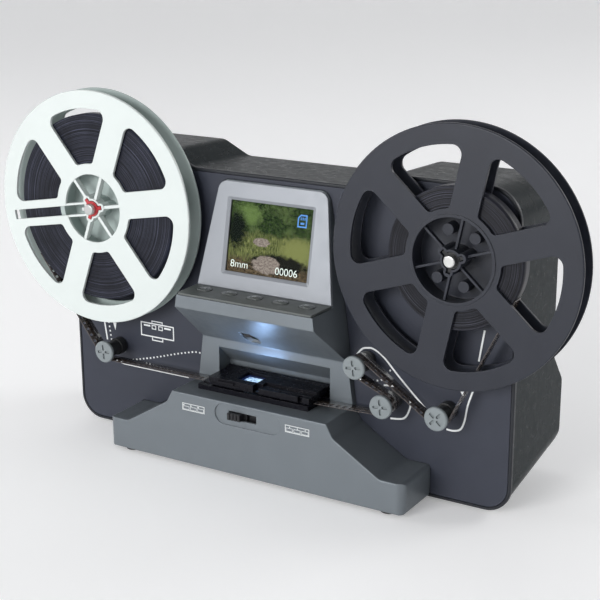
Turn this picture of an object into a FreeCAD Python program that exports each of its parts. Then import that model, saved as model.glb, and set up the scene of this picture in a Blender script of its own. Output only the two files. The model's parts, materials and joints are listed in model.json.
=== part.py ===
import FreeCAD, Part
import math
import os

from FreeCAD import Matrix, Vector

# An 8 mm film scanner with two reels, drawn in millimetres.
# X runs to the viewer's right, Y away from the viewer and Z up. The origin is under the
# middle of the machine, on the table that the rubber feet stand on.

# ---- Driving dimensions -----------------------------------------------------------------
PANEL_Y = -18.5            # front face of the front panel
PANEL_Z = 1.5              # lower edge of the front panel above the table
PANEL_HALF = 133.5         # half the panel's width
SHOULDER_HEIGHT = 162.0    # top of the panel at its two shoulders, above its lower edge
SADDLE_HEIGHT = 154.0      # top of the panel between the shoulders
SADDLE_INNER = 50.0        # the saddle is level out to here
SADDLE_OUTER = 66.0        # the shoulders are level from here
PANEL_TOP_RADIUS = 17.0
PANEL_BOTTOM_RADIUS = 13.5
SADDLE_RADIUS = 10.0
PANEL_RIM = 1.5            # width of the raised rim round the printed plate
PLATE_RECESS = 0.2         # the printed plate's face below the rim
WALL = 2.4                 # moulded wall
SEAM = 2.8                 # depth at which the rear cover begins
REAR_UPPER_DEPTH = 52.5    # depth of the upper housing behind the panel's face
REAR_DEPTH = 68.0          # depth of the lower bulge
REAR_HALF = 132.0          # half the rear cover's width at its back
REAR_DROP = 2.6            # how much the rear cover's top falls towards the back
REAR_RISE = 9.5            # how much its underside rises towards the back

REEL_X = 106.3
REEL_Z = PANEL_Z + 128.5
REEL_RADIUS = 63.5
REEL_FRONT = -15.2         # depth of the front flange's outer face
FLANGE = 1.2
REEL_GAP = 9.0             # between the two flanges
REEL_BACK = REEL_FRONT + 2 * FLANGE + REEL_GAP
SPOKE_WIDTH = 14.2
WINDOW_INNER = 24.3
WINDOW_OUTER = 53.8
HUB_OPENING = 20.3
SUPPLY_HUB_OPENING = 18.6
SUPPLY_TURN = 10.0         # angle of the first spoke, in degrees
TAKEUP_TURN = 18.0
SUPPLY_PACK_RADIUS = 50.5
TAKEUP_PACK_RADIUS = 34.2
SPINDLE_RADIUS = 3.0
SPINDLE_TIP = -19.3
SPINDLE_TAIL = 19.0

FILM_WIDTH = 8.0
FILM_THICKNESS = 0.3
FILM_FRONT = REEL_FRONT + FLANGE + (REEL_GAP - FILM_WIDTH) / 2
FILM_BACK = FILM_FRONT + FILM_WIDTH
CLEAR = 0.3                # gap between pieces that move past each other
RUNNING = 0.05             # radial clearance of a shaft in its bore

ROLLER_RADIUS = 4.0
ROLLER_CAP_RADIUS = 6.1
ROLLER_FRONT = -15.9
ROLLER_CAP = 1.7
ROLLER_BACK = -0.6
ROLLER_PIN_RADIUS = 1.5
ROLLERS = ((-103.0, 47.8), (54.6, 66.6), (69.9, 48.9), (99.9, 48.8))

COLUMN_HALF = 40.4         # half the display column's width at the foot of the bezel
COLUMN_FOOT_HALF = 47.6
BEZEL_FOOT_DEPTH = -12.6
BEZEL_FOOT_HEIGHT = 95.4
BEZEL_TILT = 11.2          # degrees that the display leans back
BEZEL_HEIGHT = 55.5
BEZEL_TOP_HALF = 32.1
BEZEL_THICKNESS = 1.6
SCREEN_WIDTH = 49.0
SCREEN_HEIGHT = 36.7
SCREEN_FOOT = 9.2          # from the bezel's foot up to the picture
SHELF_DEPTH = -31.0
SHELF_LIP = 7.8            # height of the shelf's front face
OVERHANG_FOOT = 64.0       # height where the sloping underside meets the legs
LEG_DEPTH = -3.0
RECESS_HALF = 34.2
RECESS_TOP = 59.2
RECESS_BACK = 7.0
RECESS_BACK_TOP = 49.4
DECK_THICKNESS = 1.3
KEY_PITCH = 15.4
KEY_DEPTH = -19.8
KEY_LENGTH = 8.4
KEY_WIDTH = 5.6
KEY_TRAVEL = 1.0

BASE_DEPTH = -29.1
BASE_HALF = 90.0
BASE_BOTTOM = 0.7
BASE_TOP = 40.1
BASE_TOP_HALF = 46.8
BASE_LEDGE = 17.2
BASE_LEDGE_HALF = 77.0
BASE_SHOULDER_HALF = 50.6
BASE_SHOULDER = 33.2
BASE_WALL = 2.2
FEET_X = 79.0
FRONT_FEET_DEPTH = -21.8
REAR_FEET_DEPTH = 46.0
FOOT_RADIUS = 4.6

SWITCH_HEIGHT = 33.4
SWITCH_TRAVEL = 8.0
SWITCH_SLOT_LEFT = -10.8
KNOB_LENGTH = 8.0

GATE_FRONT = -19.2
GATE_LEFT = -36.8
GATE_RIGHT = 30.6
GATE_BED_TOP = 42.9
GATE_BACK = 6.6
DOOR_FRONT = -18.8
DOOR_LEFT = -30.3
DOOR_RIGHT = 31.0
DOOR_TOP = 47.9
HINGE_DEPTH = 4.0
HINGE_HEIGHT = 46.0
HINGE_PIN_RADIUS = 0.8
APERTURE_X = -9.0
APERTURE_DEPTH = -9.2
APERTURE_LENGTH = 10.0
APERTURE_WIDTH = 6.0

CLAW_STROKE = 4.2          # one frame of film
CLAW_X = 11.1
CLAW_DEPTH = -12.0
CAM_X = 17.0
CAM_HEIGHT = 18.0
CAM_TEETH = 36
FEED_PINION_TEETH = 12
FEED_MODULE = 0.5
REEL_GEAR_TEETH = 48
REEL_PINION_TEETH = 12
REEL_MODULE = 0.8
MOTOR_RADIUS = 11.0
SCREW_RADIUS = 1.05
SCREW_HOLE = 1.1
SCREW_LENGTH = 7.5
SCREW_HEAD_RADIUS = 2.4
SCREW_HEAD = 1.2


# ---- Drawing helpers --------------------------------------------------------------------
def dy(depth):
    """Y of a plane that lies depth behind the panel's front face."""
    return PANEL_Y + depth


def hz(height):
    """Z of a point height above the panel's lower edge."""
    return PANEL_Z + height


def facing(depth):
    """Places an outline drawn in X and Z on the plane at that depth."""
    return lambda u, v: Vector(u, dy(depth), v)


def sideways(x):
    """Places an outline drawn in Y and Z on the plane at that X."""
    return lambda u, v: Vector(x, u, v)


def flat(z):
    """Places an outline drawn in X and Y on the plane at that Z."""
    return lambda u, v: Vector(u, v, z)


def corner_arc(before, corner, after, radius):
    """Start, middle and end of the arc of that radius that rounds a corner."""
    to_before = (before - corner).normalize()
    to_after = (after - corner).normalize()
    half = to_before.getAngle(to_after) / 2
    reach = radius / math.tan(half)
    middle_line = (to_before + to_after).normalize()
    centre = corner + middle_line * (radius / math.sin(half))
    return corner + to_before * reach, centre - middle_line * radius, corner + to_after * reach


def rounded_wire(corners, place):
    """Closed wire through (u, v, radius) corners, each rounded by a tangent arc."""
    points = [place(u, v) for u, v, radius in corners]
    count = len(points)
    arcs = []
    for i in range(count):
        radius = corners[i][2]
        if radius:
            arcs.append(corner_arc(points[i - 1], points[i], points[(i + 1) % count], radius))
        else:
            arcs.append((points[i], points[i], points[i]))
    edges = []
    for i in range(count):
        start, middle, end = arcs[i]
        if start.distanceToPoint(end) > 1e-6:
            edges.append(Part.Arc(start, middle, end).toShape())
        following = arcs[(i + 1) % count][0]
        if end.distanceToPoint(following) > 1e-6:
            edges.append(Part.LineSegment(end, following).toShape())
    return Part.Wire(edges)


def slab(corners, place, thickness):
    """Solid made by moving a rounded outline along the vector thickness."""
    return Part.Face(rounded_wire(corners, place)).extrude(thickness)


def plate_y(corners, depth, back):
    """Outline in X and Z, solid from one depth to another."""
    return slab(corners, facing(depth), Vector(0, back - depth, 0))


def box(x0, x1, y0, y1, z0, z1):
    return Part.makeBox(x1 - x0, y1 - y0, z1 - z0, Vector(x0, y0, z0))


def block(x0, x1, depth0, depth1, height0, height1):
    """Box given by depths behind the panel's face and heights above its lower edge."""
    return box(x0, x1, dy(depth0), dy(depth1), hz(height0), hz(height1))


def rod(x, z, radius, depth0, depth1):
    """Cylinder along Y."""
    return Part.makeCylinder(radius, depth1 - depth0, Vector(x, dy(depth0), z), Vector(0, 1, 0))


def tube(x, z, outer, inner, depth0, depth1):
    return rod(x, z, outer, depth0, depth1).cut(rod(x, z, inner, depth0, depth1))


def post(x, depth, radius, height0, height1):
    """Cylinder along Z."""
    return Part.makeCylinder(radius, height1 - height0, Vector(x, dy(depth), hz(height0)))


def axle(depth, height, radius, x0, x1):
    """Cylinder along X."""
    return Part.makeCylinder(radius, x1 - x0, Vector(x0, dy(depth), hz(height)), Vector(1, 0, 0))


def front_edges(shape, y):
    """Edges of a shape that lie in the plane at that Y."""
    return [edge for edge in shape.Edges
            if abs(edge.BoundBox.YMin - y) < 1e-4 and abs(edge.BoundBox.YMax - y) < 1e-4]


def join(shapes):
    return shapes[0].fuse(shapes[1:]).removeSplitter()


def spin(shape, x, z, degrees):
    """Turns a shape about an axis along Y."""
    turned = shape.copy()
    turned.rotate(Vector(x, 0, z), Vector(0, 1, 0), -degrees)
    return turned


def mirrored(shape):
    return shape.mirror(Vector(0, 0, 0), Vector(1, 0, 0))


def rectangle(half_width, low, high, radius, middle=0.0):
    """Corners of an upright rounded rectangle."""
    left = middle - half_width
    right = middle + half_width
    return [(left, low, radius), (right, low, radius), (right, high, radius), (left, high, radius)]


def both_sides(right_half):
    """Adds the mirror image of the right half of an outline."""
    return right_half + [(-u, v, radius) for u, v, radius in reversed(right_half)]


def screw(point, direction):
    """Pan-head screw with a cross slot; the head ends at the point, the shank goes on."""
    along = Vector(direction)
    top = point - along * SCREW_HEAD
    shank = Part.makeCylinder(SCREW_RADIUS, SCREW_LENGTH, point, along)
    head = Part.makeCylinder(SCREW_HEAD_RADIUS, SCREW_HEAD, top, along)
    first = Vector(1, 0, 0)
    second = along.cross(first)
    slots = [cross_slot(top, first, second, along), cross_slot(top, second, first, along)]
    return join([shank, head]).cut(slots)


def cross_slot(top, length_way, width_way, down):
    """One bar of the cross in a screw head."""
    half_length = length_way * (SCREW_HEAD_RADIUS * 0.6)
    half_width = width_way * 0.3
    points = [
        top - half_length - half_width,
        top + half_length - half_width,
        top + half_length + half_width,
        top - half_length + half_width,
        top - half_length - half_width,
    ]
    return Part.Face(Part.makePolygon(points)).extrude(down * (SCREW_HEAD * 0.5))


def gear(x, z, teeth, module, bore, depth0, depth1, phase):
    """Spur gear along Y with straight-sided teeth; a tooth points at the phase angle."""
    pitch = module * teeth / 2
    root = pitch - 1.25 * module
    tip = pitch + 0.9 * module
    step = 2 * math.pi / teeth
    corners = []
    for i in range(teeth):
        middle = math.radians(phase) + i * step
        for radius, part_of_step in ((root, -0.33), (tip, -0.10), (tip, 0.10), (root, 0.33)):
            angle = middle + part_of_step * step
            corners.append((x + radius * math.cos(angle), z + radius * math.sin(angle), 0))
    return plate_y(corners, depth0, depth1).cut(rod(x, z, bore, depth0, depth1))


# ---- Housing ----------------------------------------------------------------------------
def panel_outline(inset=0.0, half=PANEL_HALF, lower=0.0, drop=0.0):
    """The machine's front outline, drawn inside itself by inset."""
    slope = math.atan2(SHOULDER_HEIGHT - SADDLE_HEIGHT, SADDLE_OUTER - SADDLE_INNER)
    bend = inset * math.tan(slope / 2)
    low = hz(lower + inset)
    shoulder = hz(SHOULDER_HEIGHT - drop - inset)
    saddle = hz(SADDLE_HEIGHT - drop - inset)
    return both_sides([
        (half - inset, low, PANEL_BOTTOM_RADIUS - inset),
        (half - inset, shoulder, PANEL_TOP_RADIUS - inset),
        (SADDLE_OUTER + bend, shoulder, SADDLE_RADIUS - inset),
        (SADDLE_INNER + bend, saddle, SADDLE_RADIUS + inset),
    ])


def screw_places():
    """Where the rear cover is screwed to the front frame, with the boss's depth there."""
    upper = REAR_UPPER_DEPTH - WALL - 0.6
    lower = REAR_DEPTH - WALL - 0.6
    places = [(x, hz(150.5), upper) for x in (-122.0, 122.0)]
    places += [(x, hz(147.0), upper) for x in (-60.0, 60.0)]
    return places + [(x, hz(27.0), lower) for x in (-119.0, 119.0)]


def board_places():
    return [(x, hz(height)) for x in (-54.0, 54.0) for height in (50.0, 118.0)]


def make_front_frame():
    """Moulded front shell: rim, wall, tongue into the rear cover, and bosses."""
    rim = plate_y(panel_outline(), 0.0, 2.0)
    rim = rim.makeFillet(0.6, front_edges(rim, dy(0.0)))
    seam_wall = plate_y(panel_outline(1.2), 2.0, SEAM)
    wall = plate_y(panel_outline(3.2), SEAM, 3.6)
    tongue = plate_y(panel_outline(3.2), 3.6, 5.6).cut(plate_y(panel_outline(4.8), 3.6, 5.6))
    frame = join([rim, seam_wall, wall, tongue])
    frame = frame.cut(plate_y(panel_outline(PANEL_RIM), -1.0, 1.2))
    bosses = []
    for x, z, depth in screw_places():
        bosses.append(tube(x, z, 3.6, SCREW_HOLE, 3.6, depth))
    for x, z in board_places():
        bosses.append(tube(x, z, 3.0, SCREW_HOLE, 3.6, 26.0))
    for side in (-1, 1):
        bosses.append(rod(side * REEL_X, REEL_Z, 8.0, 3.6, 5.0))
        for x, z in bracket_screws(side):
            bosses.append(tube(x, z, 2.6, SCREW_HOLE, 3.6, 13.0))
    frame = join([frame] + bosses)
    frame = frame.cut(plate_y(rectangle(29.0, hz(64.0), hz(144.0), 3.0), 1.0, 3.8))
    frame = frame.cut(block(-36.6, 36.6, 1.0, 3.8, 38.6, 61.2))
    frame = frame.cut(block(-40.0, 40.0, 1.0, 3.8, 6.0, 36.6))
    for x, height in ROLLERS:
        frame = frame.cut(rod(x, hz(height), ROLLER_PIN_RADIUS, 1.0, 4.0))
    for side in (-1, 1):
        frame = frame.cut(rod(side * REEL_X, REEL_Z, 5.5, 1.0, 5.2))
    return frame


def make_front_plate():
    """The thin printed plate inside the rim."""
    plate = plate_y(panel_outline(PANEL_RIM + 0.3), PLATE_RECESS, 1.2)
    plate = plate.cut(plate_y(column_outline(-0.3), -1.0, 2.0))
    plate = plate.cut(plate_y(base_outline(-0.3), -1.0, 2.0))
    for x, height in ROLLERS:
        plate = plate.cut(rod(x, hz(height), ROLLER_PIN_RADIUS + 0.5, -1.0, 2.0))
    for side in (-1, 1):
        plate = plate.cut(rod(side * REEL_X, REEL_Z, 5.5, -1.0, 2.0))
    return plate


def rear_body(inset, front, back):
    """Drafted block with the panel's outline, from one depth to another."""
    def outline(depth):
        share = depth / REAR_DEPTH
        half = PANEL_HALF - 0.4 - share * (PANEL_HALF - REAR_HALF)
        corners = panel_outline(inset, half, REAR_RISE * share, 0.4 + REAR_DROP * share)
        return rounded_wire(corners, facing(depth))
    return Part.makeLoft([outline(front), outline(back)], True, True)


def rear_profile(inset):
    """Side view of the rear cover: an upper housing over a deeper bulge."""
    bulge = REAR_DEPTH - inset
    upper = REAR_UPPER_DEPTH - inset
    corners = [
        (dy(-5.0), hz(-8.0), 0),
        (dy(58.0 - inset), hz(-8.0), 0),
        (dy(60.5 - inset), hz(7.0 + inset), 3.0),
        (dy(bulge), hz(20.0 + inset * 0.5), 5.0),
        (dy(bulge), hz(49.5 - inset * 0.5), 5.0),
        (dy(upper + 0.6), hz(67.0 - inset * 0.5), 5.0),
        (dy(upper), hz(180.0), 0),
        (dy(-5.0), hz(180.0), 0),
    ]
    return slab(corners, sideways(-150.0), Vector(300, 0, 0))


def make_rear_cover():
    """Deep rear shell with vents, screw pockets, foot bosses and the socket openings."""
    outer = rear_body(0.0, SEAM, REAR_DEPTH + 2.0).common(rear_profile(0.0))
    inner = rear_body(WALL, SEAM - 1.0, REAR_DEPTH + 2.0).common(rear_profile(WALL))
    cover = outer.cut(inner)
    bosses = []
    for x in (-FEET_X, FEET_X):
        foot = post(x, REAR_FEET_DEPTH, 7.0, 0.6, 9.5)
        bosses.append(foot.cut(post(x, REAR_FEET_DEPTH, FOOT_RADIUS, 0.6, 1.6)))
    for x in (-42.0, 44.0):
        for depth in (38.0, 58.0):
            pillar = post(x, depth, 3.0, 4.0, JACK_BOARD_HEIGHT - JACK_BOARD)
            bosses.append(pillar.common(outer))
    cover = join([cover] + bosses)
    for x, z, depth in screw_places():
        cover = cover.cut(rod(x, z, 1.6, depth, depth + 6.0))
        cover = cover.cut(rod(x, z, 3.2, depth + 1.7, depth + 8.0))
    for row in range(6):
        for x in (-36.0, 36.0):
            low = hz(112.0 + 5.0 * row)
            vent = rectangle(18.0, low, low + 2.2, 1.0, x)
            cover = cover.cut(plate_y(vent, REAR_UPPER_DEPTH - 4.0, REAR_UPPER_DEPTH + 2.0))
    for x, half, low, high, radius in SOCKET_OPENINGS:
        hole = rectangle(half, hz(low), hz(high), radius, x)
        cover = cover.cut(plate_y(hole, REAR_DEPTH - 4.0, REAR_DEPTH + 2.0))
    return cover


def make_screws():
    """All the screws, which are of one size: cover, motor brackets, main board and base."""
    forward = Vector(0, -1, 0)
    screws = []
    for x, z, depth in screw_places():
        screws.append(screw(Vector(x, dy(depth + 1.7), z), forward))
    for side in (-1, 1):
        for x, z in bracket_screws(side):
            screws.append(screw(Vector(x, dy(BRACKET_BACK), z), forward))
    for x, z in board_places():
        screws.append(screw(Vector(x, dy(27.6), z), forward))
    for x, depth in base_screw_places():
        screws.append(screw(Vector(x, dy(depth), hz(2.1)), Vector(0, 0, 1)))
    return screws


# ---- Base -------------------------------------------------------------------------------
def base_outline(inset=0.0, lower=BASE_BOTTOM):
    """Front outline of the base: a wide foot with sloping sides and a narrow top."""
    return both_sides([
        (BASE_HALF - inset, hz(lower), 1.0),
        (BASE_HALF - inset, hz(BASE_LEDGE - inset), 2.0),
        (BASE_LEDGE_HALF - inset * 0.3, hz(BASE_LEDGE - inset), 6.0),
        (BASE_SHOULDER_HALF - inset * 0.7, hz(BASE_SHOULDER - inset * 0.6), 5.0),
        (BASE_TOP_HALF - inset, hz(BASE_TOP - inset), 0.9),
    ])


def make_base_housing():
    """Painted base shell, open underneath and behind."""
    front = dy(BASE_DEPTH)
    outer = plate_y(base_outline(), BASE_DEPTH, 1.2)
    outer = outer.makeFillet(0.6, front_edges(outer, front))
    plan = [
        (-BASE_HALF, front, 4.5), (BASE_HALF, front, 4.5),
        (BASE_HALF, dy(1.2), 0), (-BASE_HALF, dy(1.2), 0),
    ]
    outer = outer.common(slab(plan, flat(-5.0), Vector(0, 0, 60)))
    inner = plate_y(base_outline(BASE_WALL, -6.0), BASE_DEPTH + BASE_WALL, 1.4)
    base = outer.cut(inner)
    bosses = [post(x, depth, 3.6, 2.8, 30.0).common(outer) for x, depth in base_screw_places()]
    base = join([base] + bosses)
    for x, depth in base_screw_places():
        base = base.cut(post(x, depth, SCREW_HOLE, 2.0, 12.0))
    base = base.cut(block(-95.0, 95.0, -CLEAR, 2.0, 0.0, PANEL_RIM + CLEAR))
    pill = rectangle(20.2, hz(SWITCH_HEIGHT - 5.6), hz(SWITCH_HEIGHT + 5.6), 5.5, 0.6)
    base = base.cut(plate_y(pill, BASE_DEPTH - 1.0, BASE_DEPTH + 0.7))
    slot_right = SWITCH_SLOT_LEFT + KNOB_LENGTH + SWITCH_TRAVEL
    base = base.cut(block(SWITCH_SLOT_LEFT - 0.4, slot_right + 0.4, BASE_DEPTH - 1.0,
                          BASE_DEPTH + 3.0, SWITCH_HEIGHT - 2.2, SWITCH_HEIGHT + 2.2))
    base = base.cut(aperture_block(1.5, BASE_TOP - 3.0, BASE_TOP + 1.0))
    base = base.cut(claw_slot(BASE_TOP - 3.0, BASE_TOP + 1.0))
    return base


def base_screw_places():
    return [(x, depth) for x in (-66.0, 66.0) for depth in (FRONT_FEET_DEPTH, -6.0)]


def make_base_bottom():
    """Flat lid under the base, with pockets for the front feet."""
    inside = BASE_HALF - BASE_WALL - 0.3
    lid = block(-inside, inside, BASE_DEPTH + BASE_WALL + 0.3, -CLEAR, 0.8, 2.8)
    corner_edges = [edge for edge in lid.Edges
                    if abs(edge.tangentAt(edge.FirstParameter).z) > 0.9]
    lid = lid.makeFillet(2.0, corner_edges)
    for x in (-FEET_X, FEET_X):
        lid = lid.cut(post(x, FRONT_FEET_DEPTH, FOOT_RADIUS, 0.0, 1.6))
    for x, depth in base_screw_places():
        lid = lid.cut(post(x, depth, 1.4, 0.0, 4.0))
        lid = lid.cut(post(x, depth, 2.9, 0.0, 2.1))
    return lid


def make_rubber_feet():
    feet = []
    for x in (-FEET_X, FEET_X):
        for depth, top in ((FRONT_FEET_DEPTH, 1.6), (REAR_FEET_DEPTH, 1.6)):
            foot = post(x, depth, FOOT_RADIUS, -PANEL_Z, top)
            lower_edge = [edge for edge in foot.Edges if edge.CenterOfMass.z < 0.01
                          and edge.Length > 20]
            feet.append(foot.makeFillet(0.6, lower_edge))
    return feet


def make_switch_knob():
    """Format selector: a ribbed knob in front, joined through the slot to a slider."""
    left = SWITCH_SLOT_LEFT
    right = left + KNOB_LENGTH
    low = SWITCH_HEIGHT - 1.8
    high = SWITCH_HEIGHT + 1.8
    front = BASE_DEPTH - 1.9
    knob = block(left + 0.2, right - 0.2, front, BASE_DEPTH + 3.2, low, high)
    for i in range(3):
        x = left + 2.0 + 2.0 * i
        knob = knob.cut(block(x - 0.35, x + 0.35, front - 0.1, front + 0.6, low - 1, high + 1))
    slider = block(left - 1.5, right + 1.5, BASE_DEPTH + 2.6, BASE_DEPTH + 4.0,
                   SWITCH_HEIGHT - 3.2, SWITCH_HEIGHT + 3.2)
    return join([knob, slider])


def make_switch_body():
    """The slide switch inside the base that the knob works."""
    left = SWITCH_SLOT_LEFT - 3.0
    right = SWITCH_SLOT_LEFT + KNOB_LENGTH + SWITCH_TRAVEL + 3.0
    body = block(left, right, BASE_DEPTH + 4.4, BASE_DEPTH + 8.0,
                 SWITCH_HEIGHT - 4.0, SWITCH_HEIGHT + 4.0)
    pins = [block(x - 0.3, x + 0.3, BASE_DEPTH + 8.0, BASE_DEPTH + 10.5,
                  SWITCH_HEIGHT - 0.8, SWITCH_HEIGHT + 0.8) for x in (-7.0, -1.5, 4.0)]
    return join([body] + pins)


# ---- Display column ---------------------------------------------------------------------
def column_outline(inset=0.0):
    """Front view of the column, wider towards its foot."""
    top = BEZEL_FOOT_HEIGHT + BEZEL_HEIGHT * math.cos(math.radians(BEZEL_TILT))
    return both_sides([
        (COLUMN_FOOT_HALF - inset, hz(BASE_TOP), 0),
        (COLUMN_HALF - inset, hz(BEZEL_FOOT_HEIGHT), 0),
        (BEZEL_TOP_HALF - inset, hz(top - inset), 5.5 - inset),
    ])


def column_profile(inset=0.0):
    """Side view of the column: sloping display, shelf, sloping underside and legs."""
    tilt = math.radians(BEZEL_TILT)
    face_inset = inset * 1.8
    top_depth = BEZEL_FOOT_DEPTH + BEZEL_HEIGHT * math.sin(tilt) + face_inset
    top = BEZEL_FOOT_HEIGHT + BEZEL_HEIGHT * math.cos(tilt)
    lip_foot = BEZEL_FOOT_HEIGHT - SHELF_LIP
    return [
        (dy(1.2 + face_inset), hz(top), 0),
        (dy(top_depth), hz(top), 0),
        (dy(BEZEL_FOOT_DEPTH + face_inset), hz(BEZEL_FOOT_HEIGHT - inset), 0),
        (dy(SHELF_DEPTH + inset), hz(BEZEL_FOOT_HEIGHT - inset), 0.4),
        (dy(SHELF_DEPTH - 0.4 + inset), hz(lip_foot + inset * 0.4), 0.6),
        (dy(LEG_DEPTH + inset * 0.3), hz(OVERHANG_FOOT + inset), 1.5),
        (dy(LEG_DEPTH + inset * 0.3), hz(BASE_TOP), 0),
        (dy(1.2 + face_inset), hz(BASE_TOP), 0),
    ]


def leaned(shape):
    """Moves a piece drawn upright, with its face at y = 0, onto the sloping display face."""
    placed = shape.copy()
    placed.rotate(Vector(0, 0, 0), Vector(1, 0, 0), -BEZEL_TILT)
    placed.translate(Vector(0, dy(BEZEL_FOOT_DEPTH), hz(BEZEL_FOOT_HEIGHT)))
    return placed


def upright(corners, front, back):
    """Outline in X and Z of a piece that will be leaned, solid from front to back."""
    return slab(corners, lambda u, v: Vector(u, front, v), Vector(0, back - front, 0))


def pointer_notch():
    """Three-cornered pocket in the underside, pointing at the film gate."""
    x = APERTURE_X
    corners = [(x - 7.0, dy(-18.0), 0.4), (x + 2.2, dy(-15.0), 0.4), (x + 0.4, dy(-4.0), 0.4)]
    return slab(corners, flat(hz(60.0)), Vector(0, 0, 13.5))


def inner_pillars():
    """Posts inside the column that carry the key board and the camera."""
    key_board_foot = key_switch_top() - 2.6
    pillars = [block(x - 1.5, x + 1.5, KEY_DEPTH - 4.0, KEY_DEPTH + 4.0, 78.0, key_board_foot)
               for x in (-34.0, 34.0)]
    for x in (APERTURE_X - 7.4, APERTURE_X + 7.4):
        pillars.append(post(x, -2.6, 1.4, 62.0, CAMERA_FOOT + 10.5))
    return pillars


def make_display_column():
    """Painted column shell, open towards the frame, with the gate recess through its foot."""
    outer = slab(column_profile(), sideways(-60.0), Vector(120, 0, 0))
    outer = outer.common(plate_y(column_outline(), -40.0, 1.2))
    inner = slab(column_profile(2.0), sideways(-60.0), Vector(120, 0, 0))
    inner = inner.common(plate_y(column_outline(2.0), -40.0, 3.0))
    inner = inner.cut(block(-60, 60, -40, 5, BASE_TOP - 2, RECESS_TOP + 6.0))
    column = join([outer.cut(inner)] + [pillar.common(outer) for pillar in inner_pillars()])
    face_cut = box(-60, 60, -40, BEZEL_THICKNESS, 0, 80)
    column = column.cut(leaned(face_cut))
    screen_room = upright(rectangle(30.0, 3.5, 52.0, 1.0), -5.0, 12.0)
    column = column.cut(leaned(screen_room))
    shelf_cut = block(-60, 60, SHELF_DEPTH - 5, BEZEL_FOOT_DEPTH + 1.2,
                      BEZEL_FOOT_HEIGHT - DECK_THICKNESS, BEZEL_FOOT_HEIGHT + 3)
    column = column.cut(shelf_cut)
    column = column.cut(block(-36.5, 36.5, SHELF_DEPTH + 2.2, BEZEL_FOOT_DEPTH - 1.0,
                              BEZEL_FOOT_HEIGHT - 5.0, BEZEL_FOOT_HEIGHT))
    ceiling = [
        (dy(LEG_DEPTH - 3.0), hz(BASE_TOP - 1.0), 0),
        (dy(LEG_DEPTH - 3.0), hz(RECESS_TOP), 0),
        (dy(LEG_DEPTH), hz(RECESS_TOP), 0.8),
        (dy(RECESS_BACK), hz(RECESS_BACK_TOP), 0),
        (dy(RECESS_BACK), hz(BASE_TOP - 1.0), 0),
    ]
    pocket_walls = [
        (dy(1.2), hz(BASE_TOP + 0.2), 0),
        (dy(1.2), hz(RECESS_TOP - 3.2), 0),
        (dy(RECESS_BACK + 1.5), hz(RECESS_BACK_TOP - 1.0), 0),
        (dy(RECESS_BACK + 1.5), hz(BASE_TOP + 0.2), 0),
    ]
    walls = slab(pocket_walls, sideways(-RECESS_HALF - 1.6), Vector(2 * RECESS_HALF + 3.2, 0, 0))
    column = join([column, walls])
    recess = slab(ceiling, sideways(-RECESS_HALF), Vector(2 * RECESS_HALF, 0, 0))
    column = column.cut(recess)
    column = column.cut(pointer_notch())
    column = column.cut(post(APERTURE_X, APERTURE_DEPTH, 4.9, 66.0, 76.0))
    return column


def make_display_bezel():
    """Pale face round the screen, with a chamfered window."""
    outline = [
        (-COLUMN_HALF, 0.0, 0.5), (COLUMN_HALF, 0.0, 0.5),
        (BEZEL_TOP_HALF, BEZEL_HEIGHT, 5.5), (-BEZEL_TOP_HALF, BEZEL_HEIGHT, 5.5),
    ]
    face = upright(outline, 0.0, BEZEL_THICKNESS)
    face = face.makeFillet(0.5, front_edges(face, 0.0))
    half = SCREEN_WIDTH / 2
    head = SCREEN_FOOT + SCREEN_HEIGHT
    wide = rounded_wire(rectangle(half + 1.9, SCREEN_FOOT - 1.7, head + 1.5, 1.2),
                        lambda u, v: Vector(u, 0.0, v))
    narrow = rounded_wire(rectangle(half, SCREEN_FOOT, head, 0.4),
                          lambda u, v: Vector(u, 1.0, v))
    chamfer = Part.makeLoft([wide, narrow], True, True)
    straight = upright(rectangle(half, SCREEN_FOOT, head, 0.4), 0.9, BEZEL_THICKNESS)
    return leaned(face.cut(chamfer).cut(straight))


def make_screen_window():
    """Clear cover behind the bezel's opening."""
    half = SCREEN_WIDTH / 2 + 1.5
    sheet = rectangle(half, SCREEN_FOOT - 1.5, SCREEN_FOOT + SCREEN_HEIGHT + 1.5, 1.0)
    return leaned(upright(sheet, BEZEL_THICKNESS, BEZEL_THICKNESS + 0.8))


def make_screen_panel():
    """Display module: the picture layer in its metal tray, with the connector tail."""
    front = BEZEL_THICKNESS + 0.8
    half = SCREEN_WIDTH / 2 + 3.4
    tray = upright(rectangle(half, SCREEN_FOOT - 4.0, SCREEN_FOOT + SCREEN_HEIGHT + 3.0, 0.6),
                   front, front + 3.0)
    tail = upright(rectangle(9.0, SCREEN_FOOT + 2.0, SCREEN_FOOT + 12.0, 0.5),
                   front + 3.0, front + 4.2)
    return leaned(join([tray, tail]))


def key_x(index):
    return (index - 2) * KEY_PITCH


def key_outline(x, length, width):
    half_length = length / 2
    half_width = width / 2
    y = dy(KEY_DEPTH)
    radius = half_width - 0.02
    return [
        (x - half_length, y - half_width, radius), (x + half_length, y - half_width, radius),
        (x + half_length, y + half_width, radius), (x - half_length, y + half_width, radius),
    ]


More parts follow.
